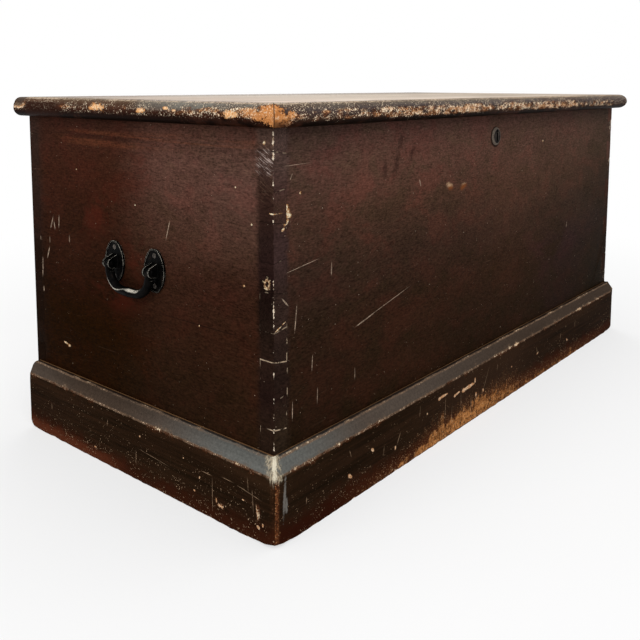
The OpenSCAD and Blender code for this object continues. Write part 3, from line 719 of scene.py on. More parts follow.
toBack = Matrix.Translation((0, iron["gap"], 0))
halfTurn = Matrix.Rotation(math.pi, 4, "Z")
toRight = Matrix.Translation(iron["middle"]) @ halfTurn @ Matrix.Translation([-c for c in iron["middle"]])
rose = castPiece("iron_rose_left_front", "handle_left_rose_front", iron["voxel"])
bail = castPiece("iron_bail_left", "handle_left_bail", iron["voxel"], iron["bailRounds"])
roses = {
    "left_front": rose, "left_back": copyTurned(rose, "iron_rose_left_back", toBack),
    "right_back": copyTurned(rose, "iron_rose_right_back", toRight),
    "right_front": copyTurned(rose, "iron_rose_right_front", toRight @ toBack),
}
bails = {"left": bail, "right": copyTurned(bail, "iron_bail_right", toRight)}
plate = castPiece("iron_key_plate", "escutcheon", iron["plateVoxel"], iron["plateRounds"], iron["plateLump"])
print("handles and key plate are cast:", len(rose.data.polygons), len(bail.data.polygons), len(plate.data.polygons))


ease = {
    # the chipped corner: width of its strip, rows added to edges longer than "longest", reach and depth of the wear
    "arris": 0.00045, "strip": 0.0032, "rows": 15, "longest": 0.012, "reach": 0.0020, "sink": 0.0012,
    # worn lengths down the near corner of the box: low z, high z, strength
    "worn": [
        (0.447, 0.478, 0.95), (0.419, 0.433, 0.9), (0.402, 0.408, 0.5), (0.384, 0.388, 0.8), (0.374, 0.379, 0.8),
        (0.352, 0.356, 0.4), (0.322, 0.327, 0.4), (0.300, 0.310, 0.9), (0.253, 0.291, 0.8), (0.228, 0.236, 0.5),
        (0.196, 0.203, 0.8), (0.164, 0.171, 0.8), (0.149, 0.155, 0.8), (0.130, 0.134, 0.7), (0.111, 0.120, 0.8),
    ],
}


def easeBoard(name, node):
    # a board with its sharp edges taken off
    piece = copyNode(name, node)
    makeActive(piece)
    bpy.ops.object.mode_set(mode="EDIT")
    bpy.ops.mesh.select_all(action="SELECT")
    bpy.ops.mesh.dissolve_limited(angle_limit=math.radians(0.5))
    leaveEdit()
    easeArrises(piece, ease["arris"], 30, use_clamp_overlap=False)
    return piece


def chipCorner(piece, end, strength):
    # rows of small faces beside the front corner at this end, where worn lengths sink
    inX, inY = end * (chest["endX"] - ease["strip"]), chest["frontY"] + ease["strip"]
    slicePiece(piece, (inX, 0, 0), (1, 0, 0), False)
    slicePiece(piece, (0, inY, 0), (0, 1, 0), False)

    def upright(a, b):
        inside = min(end * a.x, end * b.x) > end * inX - 1e-5 and max(a.y, b.y) < inY + 1e-5
        return inside and abs(b.z - a.z) > ease["longest"] and (b - a).to_2d().length < 1e-5

    pick(piece, "edges", upright)
    bpy.ops.mesh.subdivide(number_cuts=ease["rows"])
    leaveEdit()

    def amount(co):
        away = math.hypot(abs(co.x) - chest["endX"], co.y - chest["frontY"])
        ragged = octaves(co.z * 240, end, 4)
        worn = 0
        for low, high, level in ease["worn"]:
            worn = max(worn, level * along([(0, 1), (0.003, 0)], max(low - co.z, co.z - high, 0)))
        return strength * along([(0, 1), (ease["reach"] * (1 + 0.5 * ragged), 0)], away) * (worn + 0.25 * ragged)

    wearDown(piece, amount, ease["sink"], Vector((end, -1, 0)).normalized())


boardPieces = {}
for node in ("front_board", "back_board", "end_board_left", "end_board_right", "lid_board_front", "lid_board_back"):
    board = easeBoard("worn_" + node, node)
    if node in ("front_board", "end_board_left"):
        chipCorner(board, -1, 1.0)
    if node == "front_board":
        chipCorner(board, 1, 0.30)
    if node.startswith("lid"):
        pick(board, "vertices", lambda co, normal: co.z > chest["lidTop"] - 0.00002)
        bpy.ops.transform.resize(value=(1, 1, 0), center_override=(0, 0, chest["lidTop"]))
        leaveEdit()
    smoothShade(board, 25)
    boardPieces[node] = board
print("boards are eased:", [len(piece.data.polygons) for piece in boardPieces.values()])


tone = {
    "cream": (222, 200, 168), "tan": (190, 128, 74), "deep": (84, 46, 26),
    "redFoot": (54, 24, 12), "grime": (22, 15, 11),
}
seams = {
    # dovetails: foot of the first tail, distance from tail to tail, height of a tail, lean of its sides
    "first": 0.087, "pitch": 0.0808, "tail": 0.0468, "rise": 0.0036,
    # width of a joint, and the heights where joints have opened, as (height, share)
    "wide": 0.0006, "opened": [(0.1338, 1.0), (0.2146, 1.0), (0.2486, 0.6)],
}


def seamDistance(f, across, onEnd):
    # distance to the nearest dovetail joint; across runs from 0 at the chest's corner to 1 at the root
    level = f.node("Math", {"operation": "FLOORED_MODULO"}, {0: f.z - seams["first"], 1: seams["pitch"]})
    lean = across * (1 - onEnd) * seams["rise"]
    flat = abs(level - lean).least(abs(level - (seams["tail"] - lean)))
    inTail = f.step(level, seams["tail"] + 0.0006, seams["tail"] - 0.0006)
    root = abs(across - 1) * chest["board"] + abs(inTail - onEnd)
    beyond = f.step(across, 1.0, 1.02)
    return flat.least(root) + beyond


def spots(face, places, plane=None):
    # marks on a face as (place along it, height, half length, half width) in mm, and a turn in degrees
    made = []
    for place in places:
        way, height, half, wide = (size / 1000 for size in place[:4])
        angle = math.radians(place[4])
        if face == "front":
            made.append(((way, plane or chest["frontY"], height), (half, 0.02, wide), (0, -angle, 0)))
        else:
            made.append(((plane or -chest["endX"], way, height), (0.02, half, wide), (angle, 0, 0)))
    return made


def nearSpots(f, face, places, plane=None):
    # below 1 inside any of the marks
    return f.marks(spots(face, places, plane))


boardPaint = {
    # how strongly each kind of noise shows in the stain
    "gloss": 0.003, "grain": 0.30, "fine": 1.05, "thread": 2.1, "mottle": 0.60, "grit": 1.2, "blotch": 0.45,
    # colours by height: the front, the front part of an end, its back part, and the strips at the corners
    # the heights carry painted light besides the stain: lighter toward the top, painted shade just under the lid
    "front": [
        (0.11, (35, 22, 12)), (0.23, (45, 29, 19)), (0.30, (54, 37, 28)), (0.37, (71, 49, 38)), (0.435, (82, 58, 48)),
        (0.478, (70, 50, 43)),
    ],
    "endNear": [
        (0.11, (37, 22, 12)), (0.23, (46, 26, 16)), (0.29, (52, 30, 21)), (0.34, (68, 45, 35)), (0.43, (88, 60, 51)),
        (0.478, (74, 48, 39)),
    ],
    "endFar": [
        (0.11, (33, 16, 4)), (0.19, (31, 14, 2)), (0.24, (37, 17, 7)), (0.30, (44, 23, 13)), (0.37, (52, 26, 16)),
        (0.43, (56, 30, 20)), (0.478, (54, 31, 23)),
    ],
    "frontStrip": [
        (0.13, (42, 31, 22)), (0.17, (33, 21, 17)), (0.21, (37, 26, 21)), (0.25, (46, 33, 28)), (0.29, (46, 33, 28)),
        (0.33, (54, 39, 37)), (0.36, (51, 36, 34)), (0.39, (60, 42, 34)), (0.415, (62, 43, 39)), (0.44, (76, 58, 52)),
        (0.47, (74, 57, 52)),
    ],
    "endStrip": [
        (0.13, (36, 24, 17)), (0.17, (29, 17, 14)), (0.21, (38, 25, 19)), (0.25, (30, 20, 15)), (0.29, (25, 14, 11)),
        (0.33, (34, 21, 19)), (0.36, (37, 24, 21)), (0.39, (43, 27, 22)), (0.415, (48, 31, 25)), (0.44, (64, 46, 40)),
        (0.47, (76, 57, 49)),
    ],
    # marks as (place along the face, height, half length, half width) in mm, and degrees
    "frontScratches": [
        (-489, 439.5, 28, 0.4, 1), (-226, 393, 7, 1.4, -68), (-425.5, 306, 10, 1.2, 88), (-519, 306, 6, 1, 90),
        (-480, 319, 36, 0.5, 7), (-311, 235, 70, 0.5, 12.4), (-356, 224.5, 22, 1.1, 12.4), (-492, 259, 20, 1.1, 83),
        (-511, 282, 9, 1.2, -45), (-462, 196, 12, 0.9, 86), (-452, 152, 11, 0.9, 88), (-376, 158, 9, 0.8, 90),
        (-498, 148, 13, 0.8, 89), (-500, 426, 5, 0.8, 60), (306, 262, 7, 1, 80),
    ],
    "frontChips": [
        (-509.8, 392.5, 5, 3.4, 0), (-508.5, 386.8, 5.6, 5.8, -30), (-505, 382, 5.4, 3.2, 0),
        (-508.5, 374.8, 5, 3, 40), (-514, 366.8, 3.2, 1.8, 30), (-484, 406, 2, 1.6, 0), (183, 431, 2.2, 1.8, 0),
        (-522.5, 252.5, 6.4, 0.9, 24), (-512.5, 257.5, 3.4, 0.7, 20),
    ],
    "frontScuffs": [(-143, 380, 12.5, 7, -20), (-103, 376.5, 12, 6.6, 15)],
    "frontSmudges": [
        (-276, 456, 20, 8, 65), (-287, 424, 24, 7.5, 74), (-313, 420, 14, 7, 85), (-248, 438, 16, 6.5, 57),
    ],
    "endScratches": [
        (-59, 346, 17, 0.9, 108), (208, 325, 12, 1.5, 112), (201, 322, 8, 1.2, 80), (189, 329, 11, 1.5, 95),
        (240, 296, 6, 1.5, 90), (215, 299, 6, 1.5, 90), (163, 306, 6, 1.4, 90), (220, 278, 12, 1.6, 112),
        (237, 254, 18, 1.6, 94), (236, 220, 5, 1.5, 90),
    ],
    "endChips": [
        (181, 147, 6, 1.6, 10), (172, 144.5, 3.6, 2.2, 0), (7, 372, 1.1, 1.1, 0), (-182, 412, 1.3, 1.2, 0),
        (-208, 371, 1.5, 1.4, 0), (-195, 297, 1.6, 1.4, 0), (-116, 233, 1.2, 1, 90), (-239, 386.5, 3.6, 1, 5),
        (-238.5, 370.5, 3.6, 0.9, 0), (-228, 466, 2.4, 2.2, 0), (140, 410, 1, 1, 0),
    ],
    "endScuffs": [(90, 352, 70, 36, -30), (4, 300, 32, 36, 10), (60, 240, 80, 24, 5)],
    "crack": [(-117, 234, 105, 0.5, 0)], "ring": [(-232, 305, 6.2, 6.6, 0)],
    # the middle of the key plate, in metres
    "plateX": -0.001, "plateZ": 0.4472,
}


def boardFinish(name, face, grain):
    # worn red-brown stain over pine; bare pine inside the chest
    f = Finish(name, Specular_IOR_Level=boardPaint["gloss"])
    streak = f.noise(grain, 5, 0.6, (2.3, 4.1, 0.7), 0.35)
    fine = f.noise([g * 4.6 if g > 9 else 62 for g in grain], 4, 0.62, (3.1, 1.7, 0.4), 0.2)
    thread = f.noise([g * 9.5 if g > 9 else 190 for g in grain], 3, 0.65, (0.7, 1.2, 8.4))
    cloud = f.noise((3.2, 3.2, 5.0), 3, 0.5, (7.3, 2.1, 5.5))
    mottle = f.noise((15, 15, 24), 4, 0.62, (1.6, 4.4, 3.7), 0.5)
    ragged = f.noise(310, 3, 0.65, (0.6, 5.5, 2.4))
    broken = f.noise(75, 3, 0.6, (1.1, 8.2, 3.3))
    # colour by height, the ends redder and darker toward the back
    # the height colours hold painted light, lighter toward the top, and painted shade just under the lid
    level = f.z + mottle.sway(0.06) + cloud.sway(0.04)
    if face == "front":
        f.colour = f.fade(level, *boardPaint["front"])
        red = f.step(f.x + mottle.sway(0.5), 0.18, -0.30)
        f.over(red * f.step(cloud * 0.5 + mottle * 0.5, 0.42, 0.58) * 0.8, (1.10, 0.94, 0.95, 1), "MULTIPLY")
        f.over(f.step(f.x, 0.0, 0.40) * 0.7, (0.94, 1.02, 0.98, 1), "MULTIPLY")
        plum = f.step(f.x + mottle.sway(0.4), 0.12, 0.34) * f.step(f.z, 0.30, 0.22) * f.step(cloud, 0.40, 0.60)
        f.over(plum * 0.8, (1.0, 0.96, 1.7, 1), "MULTIPLY")
        f.over(f.step(f.x, 0.36, 0.52), (0.74, 0.80, 0.78, 1), "MULTIPLY")
        f.over(f.step(f.x, -0.34, -0.46), (0.86, 0.90, 0.93, 1), "MULTIPLY")
    else:
        back = f.step(f.y + mottle.sway(0.10) + cloud.sway(0.10), -0.07, 0.07)
        f.colour = f.mix(back, f.fade(level, *boardPaint["endNear"]), f.fade(level, *boardPaint["endFar"]))
        band = f.step(abs(f.z - 0.458 + cloud.sway(0.02)), 0.014, 0.002) * f.step(streak, 0.40, 0.60)
        f.over(band * f.step(f.y, 0.20, 0.12) * 0.45, (124, 70, 44))
        f.over(
            f.step(f.y + broken.sway(0.01), 0.216, 0.250) * 0.75,
            f.mix(f.step(f.z, 0.22, 0.40), (24, 12, 5), (46, 32, 26)),
        )
        grey = f.step(f.y, -0.10, -0.17) * f.step(f.z, 0.28, 0.36)
        f.over(grey * 0.5, (0.96, 1.06, 1.10, 1), "MULTIPLY")
    # patches of redder and of greener brown
    f.over(f.step(mottle + broken.sway(0.3), 0.50, 0.62) * 0.6, (1.13, 0.93, 0.94, 1), "MULTIPLY")
    f.over(f.step(mottle + broken.sway(0.3), 0.47, 0.36) * 0.6, (0.94, 1.03, 0.94, 1), "MULTIPLY")
    waves = {"grain": streak, "fine": fine, "thread": thread, "mottle": cloud, "grit": ragged, "blotch": mottle}
    value = 1.0
    for kind, wave in waves.items():
        value = value + wave.sway(boardPaint[kind])
    f.vary(value.most(0.25))
    # at the corners the boards are dovetailed: each face has its own strip there, on both boards
    onEnd = f.step(abs(f.x), 0.5292, 0.5298)
    acrossX = (chest["endX"] - abs(f.x)) * (1 / chest["board"])
    acrossY = (chest["halfY"] - abs(f.y - chest["middleY"])) * (1 / chest["board"])
    across = acrossX + (acrossY - acrossX) * onEnd
    # the strips show most at the near corner
    near = (f.step(f.x, 0.1, -0.1) * 0.8 + 0.2) * (f.step(f.y, 0.1, -0.1) * 0.9 + 0.1)
    strip = f.step(across + (broken - 0.5) * (1.0 - onEnd * 0.6), 1.40, 0.85) * near
    if face == "front":
        dark = f.mix(f.step(f.z, 0.22, 0.40), (24, 12, 5), (42, 28, 22))
        f.over(onEnd * f.step(f.y, 0.0, 0.1) * 0.95, f.shade(dark, value))
    # the strips' colours by height carry the same painted light, lighter toward the top
    rise = f.z + broken.sway(0.02)
    dull = f.mix(onEnd, f.fade(rise, *boardPaint["frontStrip"]), f.fade(rise, *boardPaint["endStrip"]))
    f.over(strip * 0.95, f.shade(dull, value))
    # light scratches across the upper part of the strip on the near end
    hatch = f.strokes((math.radians(30), 0, 0), (0.02, 0.012, 0.0008), (0, 0.003, 0.002))
    strong = f.step(abs(f.z - 0.444 + broken.sway(0.008)), 0.017, 0.011)
    zone = strong * 0.75 + f.step(abs(f.z - 0.433 + broken.sway(0.01)), 0.040, 0.032) * 0.25
    f.over(strip * onEnd * near * zone * f.step(hatch, 0.53, 0.66), f.mix(strong, (124, 96, 78), (166, 148, 140)))
    cut = seamDistance(f, across, onEnd)
    onSeam = f.step(cut, seams["wide"] * 1.6, seams["wide"] * 0.5) * near
    f.over(onSeam * 0.3, tone["grime"])
    opened = 0
    for spot, share in seams["opened"]:
        opened = opened + f.step(abs(f.z - spot), 0.008, 0.005) * share
    paleSeam = f.step(broken, 0.42, 0.52) * opened.least(1.0) + f.step(broken, 0.56, 0.64) * 0.4
    scribe = (
        f.step(abs(across - 1 + mottle.sway(0.35)), 0.045, 0.015) * (1 - onEnd)
        * f.step(abs(f.z - 0.190), 0.070, 0.055)
    )
    paleSeam = (onSeam * paleSeam).most(scribe * f.step(broken, 0.51, 0.59) * 0.55)
    f.over((paleSeam * near).least(1.0) * 0.85, (198, 174, 146))
    # worn lengths of the corner itself
    chip = f.step(f.wear() + ragged.sway(1.3) + broken.sway(0.8), 0.52, 0.66)
    f.over(chip * 0.9, f.mix(f.step(ragged, 0.40, 0.56), (168, 128, 92), (230, 212, 188)))
    # scratches, chips, scuffs and smudges
    thin = f.step(nearSpots(f, face, boardPaint[face + "Scratches"]) + ragged.sway(1.0), 1.05, 0.55)
    scratch = thin * (0.3 + 0.7 * f.step(broken * 0.5 + ragged * 0.5, 0.43, 0.55))
    lost = f.step(nearSpots(f, face, boardPaint[face + "Chips"]) + ragged.sway(2.2), 1.15, 0.75)
    scuff = f.step(nearSpots(f, face, boardPaint[face + "Scuffs"]) + ragged.sway(1.2) + thread.sway(0.9), 1.05, 0.25)
    if face == "front":
        f.over(scuff * 0.85, f.mix(f.step(f.z + ragged.sway(0.012), 0.3770, 0.3830), (116, 66, 34), (186, 152, 118)))
        smudge = f.step(nearSpots(f, face, boardPaint["frontSmudges"]) + ragged.sway(1.2) + (mottle - 0.5), 1.2, 0.2)
        f.over(smudge * 0.55, (42, 26, 22))
        # painted shadow round the key plate, where it stands off the board
        fromPlate = (f.x - boardPaint["plateX"]).reach(f.z - boardPaint["plateZ"])
        f.over(f.step(fromPlate, 0.0182, 0.0155) * 0.8, (16, 10, 8))
    else:
        f.over(scuff * f.step(mottle + broken.sway(0.5), 0.36, 0.60) * 0.22, (92, 34, 22))
        f.over(f.step(nearSpots(f, face, boardPaint["crack"]), 1.0, 0.5) * 0.9, (20, 13, 10))
        ring = f.step(abs(nearSpots(f, face, boardPaint["ring"]) - 0.62) + ragged.sway(2.2), 0.36, 0.14)
        f.over(ring * 0.85, f.mix(f.step(ragged, 0.36, 0.48), (222, 198, 160), (148, 112, 80)))
    f.over(scratch * 0.80, (184, 160, 138))
    worst = f.mix(f.step(ragged, 0.46, 0.56), (176, 128, 84), (238, 222, 188))
    f.over(lost * 0.88, f.mix(f.step(ragged, 0.36, 0.42), (70, 44, 28), worst))
    # hairlines and specks of dust all over
    hair = f.noise((24, 24, 760), 2, 0.5, (8.8, 1.9, 6.1), 0.8)
    f.over(f.step(hair, 0.68, 0.78) * 0.14, (128, 98, 80))
    speck = f.noise(400, 2, 0.5, (2, 2, 9))
    f.over(f.step(speck, 0.73, 0.765) * f.step(broken, 0.45, 0.58) * 0.75, (206, 184, 158))
    f.over(f.step(speck, 0.27, 0.23) * 0.35, tone["grime"])
    # raw pine inside, dark edges on top
    depth = chest["board"] - 0.0004
    inX, inY = chest["endX"] - depth, chest["halfY"] - depth
    inside = f.step(abs(f.x), inX + 0.0004, inX - 0.0002)
    inside = inside * f.step(abs(f.y - chest["middleY"]), inY + 0.0004, inY - 0.0002)
    raw = f.mix(f.step(streak * 0.6 + fine * 0.4, 0.35, 0.65), (112, 80, 50), (160, 122, 84))
    raw = f.mix(f.step(cloud, 0.45, 0.7) * 0.4, raw, (92, 66, 44))
    f.over(inside, raw)
    f.over(f.step(f.z, 0.4903, 0.4908) * 0.8, f.mix(streak, (52, 36, 26), (112, 84, 58)))
    rough = 0.44 - 0.12 * fine + 0.15 * cloud + 0.15 * inside
    relief = streak * 0.2 + fine * 0.30 + thread * 0.25 - scratch * 0.5 - lost * 0.6 - onSeam * 0.5
    return f.feed(rough, relief, 0.0004)


def wearMask(f, low, high, spread):
    # the piece's own wear, made ragged by fine noise
    worn = f.wear()
    grit = f.noise(420, 4, 0.68, (0.2, 3.3, 1.8))
    return f.step(worn + grit.sway(spread), low, high), grit


plinthPaint = {
    # the bevel's colours are dust and a painted sheen, greyest near the front corner
    "gloss": 0.003, "low": (24, 15, 7), "high": (43, 27, 16), "bevelNear": (96, 96, 92), "bevelFar": (66, 54, 45),
    # marks as on the boards
    "frontMarks": [
        (-169, 50, 16, 0.6, 88), (-122, 45, 13, 0.5, 90), (-73, 35, 6, 1, -64), (-40, 57, 22, 0.7, 60),
        (-1.5, 64, 6, 0.7, 75), (-52, 38, 6, 1, 60), (153.5, 53, 8, 0.7, -65), (-294, 45, 10, 0.7, 60),
        (-330, 40, 8, 0.6, 80), (-240, 66, 9, 0.6, 84), (260, 52, 7, 0.7, 96), (330, 60, 8, 0.6, 80),
        (-490, 38, 5, 0.7, 88), (-404, 64, 6, 0.8, -70), (-150, 30, 20, 0.6, 85), (-90, 28, 18, 0.7, 87),
    ],
    "frontChips": [
        (-176, 69, 12.5, 2, 0), (-186, 68, 4, 2.6, 0), (-133, 60, 7, 1.8, 8), (-141, 58.5, 3, 2.4, 0),
        (-100, 59.8, 20, 3, 2), (-114, 59, 6, 3.4, 0), (-78, 64, 2, 4.6, 0), (-74, 40, 2.2, 3.4, 0),
        (292, 37, 3.6, 2, -30), (157, 46, 4, 1.2, 20), (-50, 40, 1.8, 3, 30), (-404, 34, 5, 2.4, -35),
        (-356, 51.5, 4, 2.2, -40), (-302, 35, 1.8, 3, 0), (52, 50, 1.6, 1.4, 0), (-220, 56, 1.4, 1.6, 0),
    ],
    "endMarks": [
        (-3, 32, 13, 0.5, 90), (-40, 43.5, 36, 0.4, 4), (-143, 56, 10, 0.6, 0), (-153, 32, 24, 0.7, 90),
        (-216, 56, 22, 0.6, 8), (-214, 66, 10, 0.6, 84), (-222, 48, 16, 0.8, 86), (60, 62, 6, 0.6, 100),
        (200, 48, 6, 0.6, 85), (-180, 60, 12, 0.5, 2),
    ],
    "endChips": [
        (-166, 22, 5, 1, 25), (-160, 27, 1.2, 3, 0), (-228, 36, 11, 0.5, 84), (-231, 19, 3.4, 2.2, 40),
        (-238, 24, 1.2, 2.6, 0), (-12, 64, 1.3, 1.5, 0), (-120, 26, 1.8, 1.4, 0), (-206, 44, 2, 1, 0),
        (-130, 46, 1, 2, 20), (90, 18, 3, 1.2, 0), (-100, 62, 1, 1, 0),
    ],
    "scuff": [(-529, 58, 27, 2.4, 86), (-526, 46, 10, 3, 90)],
}


def baseFinish(name, face, grain):
    # black-brown stain, worn through to pine along the foot and the arrises
    f = Finish(name, Specular_IOR_Level=plinthPaint["gloss"])
    outer = chest["baseY"] if face == "front" else -chest["baseX"]
    streak = f.noise(grain, 5, 0.62, (5.3, 2.1, 1.7), 0.3)
    fine = f.noise([g * 4.2 for g in grain], 4, 0.62, (1.1, 6.7, 2.4))
    cloud = f.noise((5, 5, 9), 4, 0.55, (3.3, 0.1, 2.5))
    ragged = f.noise(300, 4, 0.66, (6.6, 2.5, 0.4))
    patch = f.noise((55, 55, 80), 4, 0.62, (2.6, 7.5, 3.4))
    speck = f.noise(520, 2, 0.5, (2, 7, 9))
    run = f.x if face == "front" else f.y
    f.colour = f.mix(f.step(streak * 0.5 + fine * 0.5, 0.36, 0.66), plinthPaint["low"], plinthPaint["high"])
    f.over(f.step(cloud, 0.5, 0.72) * 0.35, (52, 36, 22))
    if face == "front":
        f.over(f.step(abs(f.x + 0.04), 0.26, 0.06) * 0.6, (52, 35, 24))
    f.vary(1.0 + ragged.sway(0.9))
    foot = f.step(f.z + cloud.sway(0.04) + patch.sway(0.03), 0.034, 0.006)
    f.over(foot * 0.85, tone["redFoot"])
    if face == "end":
        f.over(
            f.step(f.y + cloud.sway(0.1), 0.0, 0.10) * f.step(f.z + patch.sway(0.02), 0.022, 0.006) * 0.7,
            (94, 48, 30),
        )
    else:
        f.over(foot * f.step(f.x, -0.38, -0.46), (0.74, 0.60, 0.60, 1), "MULTIPLY")
    # the bevel holds dust and a painted sheen, most near the front corner
    bevel = f.step(f.z, chest["baseEdge"] + 0.0004, chest["baseEdge"] + 0.0014)
    if face == "front":
        near, middle = f.step(run, -0.36, -0.52), f.step(run, 0.12, -0.32)
    else:
        near = f.step(run, -0.03, -0.20)
        middle = f.step(run, 0.05, -0.10).most(f.step(run, 0.12, 0.24) * 0.6)
    dustAndSheen = f.mix(middle, plinthPaint["bevelFar"], (80, 70, 62))
    dustAndSheen = f.mix(near, dustAndSheen, plinthPaint["bevelNear"])
    dustAndSheen = f.shade(dustAndSheen, 0.95 + ragged.sway(1.0) + fine.sway(0.5))
    dustAndSheen = f.mix(f.step(speck, 0.30, 0.24) * 0.7, dustAndSheen, (30, 24, 20))
    if face == "end":
        dustAndSheen = f.shade(dustAndSheen, 0.88 + 0.22 * f.step(f.z, 0.101, 0.089))
    f.over(bevel, dustAndSheen)
    # a dark joint with painted shade in the inner corner, and a rubbed line where the bevel meets the box
    f.over(f.step(f.z + patch.sway(0.001), 0.1031, 0.1037) * 0.8, (30, 20, 15))
    rubbed = f.step(abs(f.z + patch.sway(0.0012) - 0.1021), 0.0014, 0.0006)
    if face == "end":
        rubbed = rubbed * (0.35 + 0.65 * f.step(f.y, 0.02, 0.12))
    rubbed = rubbed.most(f.step(abs(f.z + patch.sway(0.003) - chest["baseEdge"]), 0.0020, 0.0008))
    f.over(rubbed * f.step(patch * 0.5 + ragged * 0.5, 0.38, 0.52) * 0.8, (110, 88, 70))
    f.over(rubbed * f.step(speck, 0.60, 0.68) * f.step(patch, 0.40, 0.56), (206, 178, 150))
    # bare wood along the foot of the front, with dark grit in it
    if face == "front":
        spread = f.step(f.x, -0.33, -0.22) * f.step(f.x, 0.46, 0.12)
        core = f.step(f.x, -0.27, -0.17) * f.step(f.x, 0.12, 0.0)
        drip = f.noise((260, 260, 16), 3, 0.6, (4.1, 0.4, 6.2))
        top = 0.007 * spread + 0.019 * core + cloud.sway(0.026) + patch.sway(0.060) + drip.sway(0.030)
        bare = f.step(f.z - top + ragged.sway(0.045), 0.004, -0.004) * f.step(spread, 0.02, 0.25)
        wood = f.mix(f.step(fine * 0.35 + ragged * 0.65, 0.40, 0.60), (112, 62, 28), (190, 128, 72))
        wood = f.mix(f.step(speck, 0.60, 0.68) * 0.7, wood, (220, 178, 130))
        pit = f.noise((150, 150, 110), 4, 0.7, (4.4, 3.2, 0.8))
        wood = f.mix(f.step(pit * 0.7 + ragged * 0.3, 0.49, 0.42) * 0.9, wood, (48, 26, 14))
        wood = f.mix(f.step(pit, 0.56, 0.64) * 0.5, wood, (206, 150, 96))
        brighter, darker = f.mix(0.25, wood, (178, 122, 70)), f.mix(0.30, wood, (70, 42, 24))
        wood = f.mix(f.step(f.x, -0.10, 0.0), brighter, darker)
        halo = (
            f.step(f.z - top + patch.sway(0.03), 0.026, -0.004) * f.step(f.x, -0.44, -0.34) * f.step(f.x, 0.52, 0.40)
        )
        f.over(halo * 0.55 * f.step(ragged, 0.40, 0.56), tone["deep"])
        f.over(halo * f.step(speck, 0.58, 0.64) * 0.7, (158, 116, 76))
        f.over(bare * f.step(ragged * 0.5 + streak * 0.5, 0.36, 0.48) * f.step(f.z, 0.0006, 0.0022), wood)
    # wear of the arrises, the foot and the corner
    strong, grit = wearMask(f, 0.44, 0.56, 1.1)
    soft, _ = wearMask(f, 0.20, 0.42, 0.7)
    corner = (f.x + chest["baseX"]).reach(f.y - chest["baseY"])
    atCorner = f.step(corner, 0.016, 0.009)
    f.over(soft * (0.6 - 0.45 * atCorner * (1 - bevel)), f.mix(bevel, tone["deep"], (110, 88, 70)))
    pale = f.mix(f.step(grit, 0.42, 0.60), tone["tan"], tone["cream"])
    onCorner = atCorner * (1 - bevel)
    if face == "front":
        # the corner is rubbed to red-brown in a narrow upright strip
        red = f.mix(f.step(ragged, 0.40, 0.62), (60, 31, 17), (128, 76, 44))
        red = f.mix(f.step(speck, 0.44, 0.36) * 0.8, red, (34, 20, 13))
        red = f.mix(f.step(speck, 0.62, 0.68) * 0.8, red, (196, 146, 100))
        f.over(f.step(corner + ragged.sway(0.012), 0.0090, 0.0055) * f.step(f.z, 0.084, 0.076) * 0.9, red)
    pale = f.mix(onCorner, pale, f.mix(f.step(grit, 0.50, 0.66), (92, 50, 30), (176, 128, 92)))
    f.over(strong * (1 - onCorner * 0.8), pale)
    upright = f.noise((520, 520, 90), 3, 0.6, (3.2, 5.2, 0.3))
    ridge = abs((f.x + chest["baseX"]) - (f.y - chest["baseY"])) + f.step(f.x, -0.50, -0.48)
    flaked = (
        f.step(ridge + ragged.sway(0.014) + patch.sway(0.03), 0.013, 0.006)
        * f.step(f.z + upright.sway(0.03), 0.076, 0.086)
    )
    f.over(
        flaked * f.step(upright * 0.5 + grit * 0.5, 0.38, 0.52) * 0.8,
        f.mix(f.step(upright, 0.42, 0.60), (128, 116, 96), (190, 176, 150)),
    )
    splint = f.step(ridge + upright.sway(0.010) + ragged.sway(0.006), 0.0042, 0.0018) * f.step(f.z, 0.078, 0.086)
    f.over(splint * 0.9, (228, 218, 194))
    # scratches and chips
    thin = f.step(nearSpots(f, face, plinthPaint[face + "Marks"], outer) + ragged.sway(0.9), 1.05, 0.6)
    scratch = thin * (0.3 + 0.7 * f.step(ragged * 0.5 + patch * 0.5, 0.44, 0.56))
    lost = f.step(nearSpots(f, face, plinthPaint[face + "Chips"], outer) + ragged.sway(1.7), 1.1, 0.8)
    if face == "front":
        dry = f.step(nearSpots(f, face, plinthPaint["scuff"], outer) + ragged.sway(1.2) + (patch - 0.5), 1.1, 0.5)
        f.over(dry * 0.7, (118, 114, 108))
    f.over(scratch * 0.6, (168, 138, 110))
    f.over(lost * 0.92, f.mix(f.step(ragged, 0.42, 0.58), (180, 128, 88), (226, 192, 156)))
    below = 1 - bevel
    low = f.step(f.z, 0.060, 0.015) * 0.05
    f.over(f.step(speck + low, 0.70, 0.735) * below * f.step(patch, 0.44, 0.58) * 0.8, (188, 156, 124))
    # raw pine on the side that faces the box
    back = f.step(-1 * f.y, 0.2435, 0.2425) * f.step(abs(f.x), 0.5325, 0.5315)
    f.over(back, f.mix(streak, (96, 68, 44), (140, 104, 70)))
    rough = 0.42 + 0.14 * cloud + 0.2 * strong - 0.06 * bevel
    relief = streak * 0.4 + fine * 0.3 + ragged * 0.3 - strong * 0.6 - scratch * 0.4 - lost * 0.7
    return f.feed(rough, relief, 0.0005)


mouldPaint = {
    "gloss": 0.012, "bareLow": (140, 84, 46), "bareHigh": (206, 148, 96), "cream": (240, 220, 190),
    # paint colours by height on the front and on the ends, with painted sheen above and painted shade below
    "front": [
        (0.484, (12, 7, 4)), (0.4895, (22, 10, 5)), (0.4925, (50, 34, 25)), (0.498, (68, 54, 50)),
        (0.503, (76, 67, 66)), (0.510, (100, 89, 76)),
    ],
    "end": [
        (0.484, (9, 4, 2)), (0.4895, (24, 9, 4)), (0.493, (32, 13, 6)), (0.498, (58, 34, 24)), (0.503, (74, 51, 39)),
        (0.510, (84, 65, 48)),
    ],
    # bare spots on the near end
    "spots": [
        (54.5, 500.5, 14.5, 5, 0), (-38, 498.5, 8, 3.2, 0), (-199, 498, 11, 4.6, 0), (-86, 502, 5, 1.8, 0),
        (-101, 499.5, 3.6, 1.6, 0),
    ],
}


